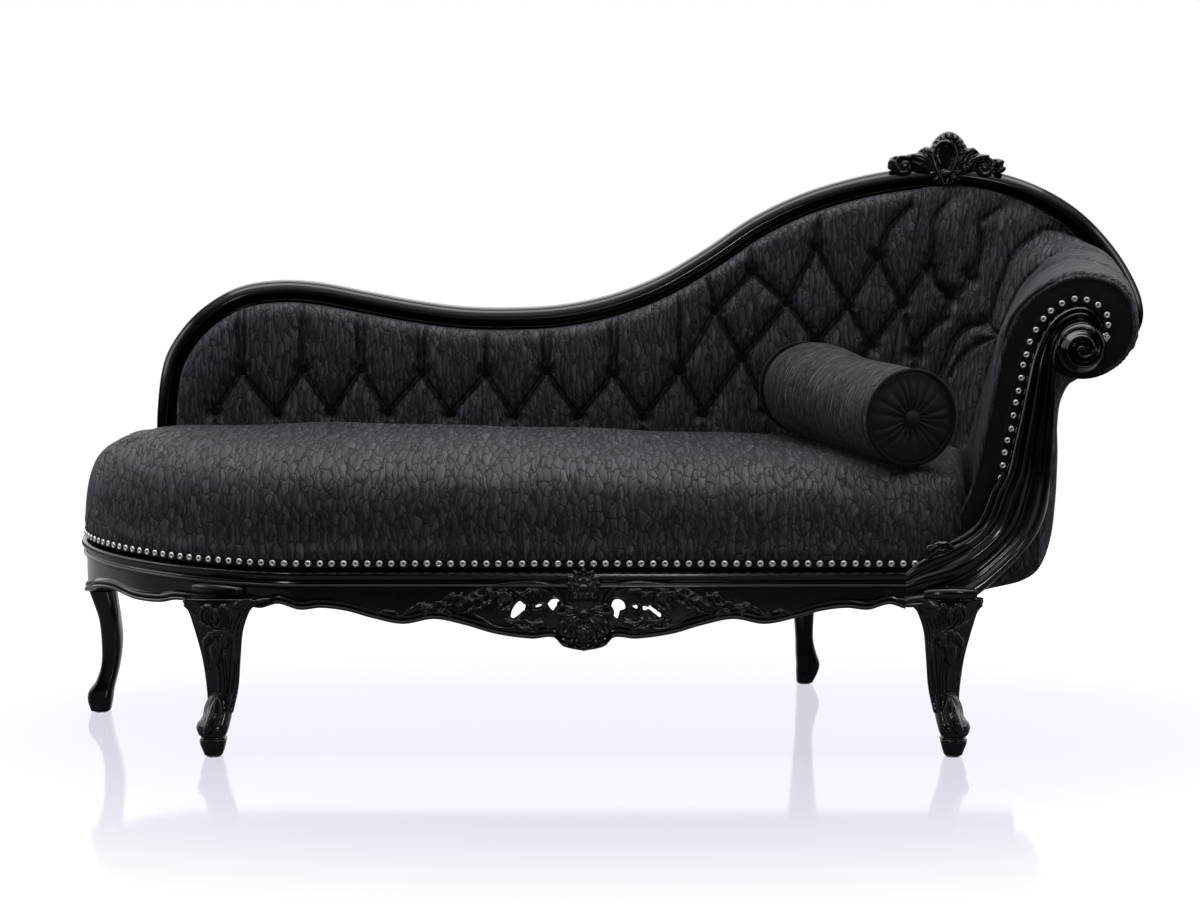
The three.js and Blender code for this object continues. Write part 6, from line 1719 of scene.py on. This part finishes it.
def buttons(on_arm):
    places = []
    for x, z in BACK_FOLDS.buttons:
        height = min(max((z - PAD_BOTTOM) / (float(inner_height(x)) - PAD_BOTTOM), 0), 1)
        places.append((x, PAD_FACE_Y + 18 - 7 * math.sin(math.pi * height), z))
    piece = set_out("back_buttons", places, np.tile([0.0, -1.0, 0.0], (len(places), 1)), button_tree(PLAIN),
                    {"Radius": 0.0105})
    finished(piece, *PLAIN_TRIM)
    piece = set_out("arm_buttons", [p - out * 1.5 for p, out in on_arm], [out for _, out in on_arm],
                    button_tree(PLAIN), {"Radius": 0.0105})
    finished(piece, *PLAIN_TRIM)


# ---------------------------------------------------------------- the couch
front_rail()
foot_rail()
rear_rail()
knee_blocks()
front_leg("left_front_leg", False, ["front_left_leg", "knee_carving_left"])
front_leg("right_front_leg", True, ["front_right_leg", "knee_carving_right"])
rear_leg("left_rear_leg", REAR_LEFT_LEG, ["rear_left_leg"])
rear_leg("right_rear_leg", REAR_RIGHT_LEG, ["rear_right_leg"])
apron_carving()
cartouche()
back_rail()
crest()
arm_post()
back_pad()
arm_button_places = arm_pad()
seat()
seat_braid()
arm_facing()
arm_trim()
arm_cover()
back_cover()
dust_cover()
bolster_sleeve()
bolster_ends()
NAILS = nail_tree()
seat_nails(NAILS)
arm_nails(NAILS)
buttons(arm_button_places)


# ---------------------------------------------------------------- studio
def camera():
    data = bpy.data.cameras.new("camera")
    data.sensor_width, data.lens = 36, 85.165
    data.clip_end = 50
    seen_from = placed("camera", data)
    seen_from.location = in_part((0, -4785.17, 1073.14))
    seen_from.rotation_euler = (math.radians(90 - 7.283), 0, 0)
    bpy.context.scene.camera = seen_from


def lamp(name, place, aim, size, watts, tint="#ffffff"):
    data = bpy.data.lights.new(name, "AREA")
    data.shape = "RECTANGLE"
    data.size, data.size_y = size
    data.energy = watts
    data.color = colour(tint)[:3]
    light = placed(name, data)
    light.location = place
    light.rotation_euler = (Vector(aim) - Vector(place)).to_track_quat("-Z", "Y").to_euler()
    light.visible_camera = False
    return light


def floor():
    """A seamless pale paper floor: plain white at a distance; round the couch it is faintly glossy, and painted darker
    and lavender there as a painted shadow."""
    sheet = placed("floor", bpy.data.meshes.new("floor"))
    sheet.data.from_pydata([(-2.6, -1.5, 0), (2.6, -1.5, 0), (2.6, 2.0, 0), (-2.6, 2.0, 0)], [], [(0, 1, 2, 3)])
    material, tree, shader = new_material("paper_floor_with_painted_shadow", IOR=1.3, Roughness=0.07)
    where = add(tree, "ShaderNodeTexCoord").outputs["Object"]
    oval = add(tree, "ShaderNodeMapping", {"Vector": where, "Scale": (0.62, 1.0, 1.0)}).outputs[0]
    far = add(tree, "ShaderNodeVectorMath", {0: oval}, operation="LENGTH").outputs["Value"]
    # near marks the painted shadow round the couch: a darker base colour, a lavender emission colour and less emission
    # there
    near = ramp(tree, far, 1.3, 0.5)
    tree.links.new(mixed(tree, near, colour("#808080"), colour("#68686e")), shader.inputs["Base Color"])
    tree.links.new(mixed(tree, near, colour("#ffffff"), colour("#f1f2ff")), shader.inputs["Emission Color"])
    path = add(tree, "ShaderNodeLightPath")
    seen = maths(tree, "MAXIMUM", path.outputs["Is Camera Ray"],
                 maths(tree, "MULTIPLY", path.outputs["Is Glossy Ray"], 0.06))
    lift = maths(tree, "MULTIPLY_ADD", near, -0.195, 0.915)
    tree.links.new(maths(tree, "MULTIPLY", seen, lift), shader.inputs["Emission Strength"])
    sheet.data.materials.append(material)


def studio():
    world = bpy.data.worlds.new("studio")
    bpy.context.scene.world = world
    world.use_nodes = True
    tree = world.node_tree
    tree.nodes.clear()
    path = add(tree, "ShaderNodeLightPath")
    seen = maths(tree, "MAXIMUM", path.outputs["Is Camera Ray"], path.outputs["Is Transmission Ray"])
    way = add(tree, "ShaderNodeSeparateXYZ", {0: add(tree, "ShaderNodeTexCoord").outputs["Generated"]})
    behind = ramp(tree, way.outputs["Y"], -0.15, 0.4)
    aside = maths(tree, "MULTIPLY", ramp(tree, maths(tree, "ABSOLUTE", way.outputs["X"]), 0.55, 0.95), 0.22)
    above = ramp(tree, way.outputs["Z"], -0.05, 0.08)
    overhead = ramp(tree, way.outputs["Z"], 0.42, 0.95, 0.0, 0.8)
    bright = maths(tree, "MAXIMUM", maths(tree, "MAXIMUM", behind, aside), overhead)
    glossy = maths(tree, "MULTIPLY_ADD", bright, above, 0.015)
    dim = maths(tree, "MULTIPLY", path.outputs["Is Glossy Ray"], glossy)
    plain = maths(tree, "MULTIPLY", maths(tree, "SUBTRACT", 1.0, path.outputs["Is Glossy Ray"]), 0.065)
    strength = maths(tree, "MAXIMUM", seen, maths(tree, "ADD", dim, plain))
    back = add(tree, "ShaderNodeBackground", {"Color": colour("#ffffff"), "Strength": strength}).outputs[0]
    add(tree, "ShaderNodeOutputWorld", {"Surface": back})
    lamp("overhead", (0, 0.15, 3.0), (0, 0.1, 0.4), (4.4, 2.2), 80)
    lamp("front_left", (-1.9, -3.4, 2.1), (-0.2, 0, 0.4), (0.4, 0.4), 5)
    lamp("front_right", (1.5, -3.4, 2.4), (0.3, 0, 0.5), (0.4, 0.4), 5)
    lamp("beside_camera", (0.1, -4.2, 0.95), (0, 0, 0.4), (0.35, 0.35), 8)
    lamp("left", (-3.4, -0.2, 1.5), (-0.7, 0, 0.6), (1.4, 1.6), 12, "#eef1ff")
    lamp("right", (3.4, -0.4, 1.7), (0.8, 0, 0.7), (1.0, 1.6), 12, "#eef1ff")
    bpy.context.scene.view_settings.view_transform = "Standard"


camera()
floor()
studio()
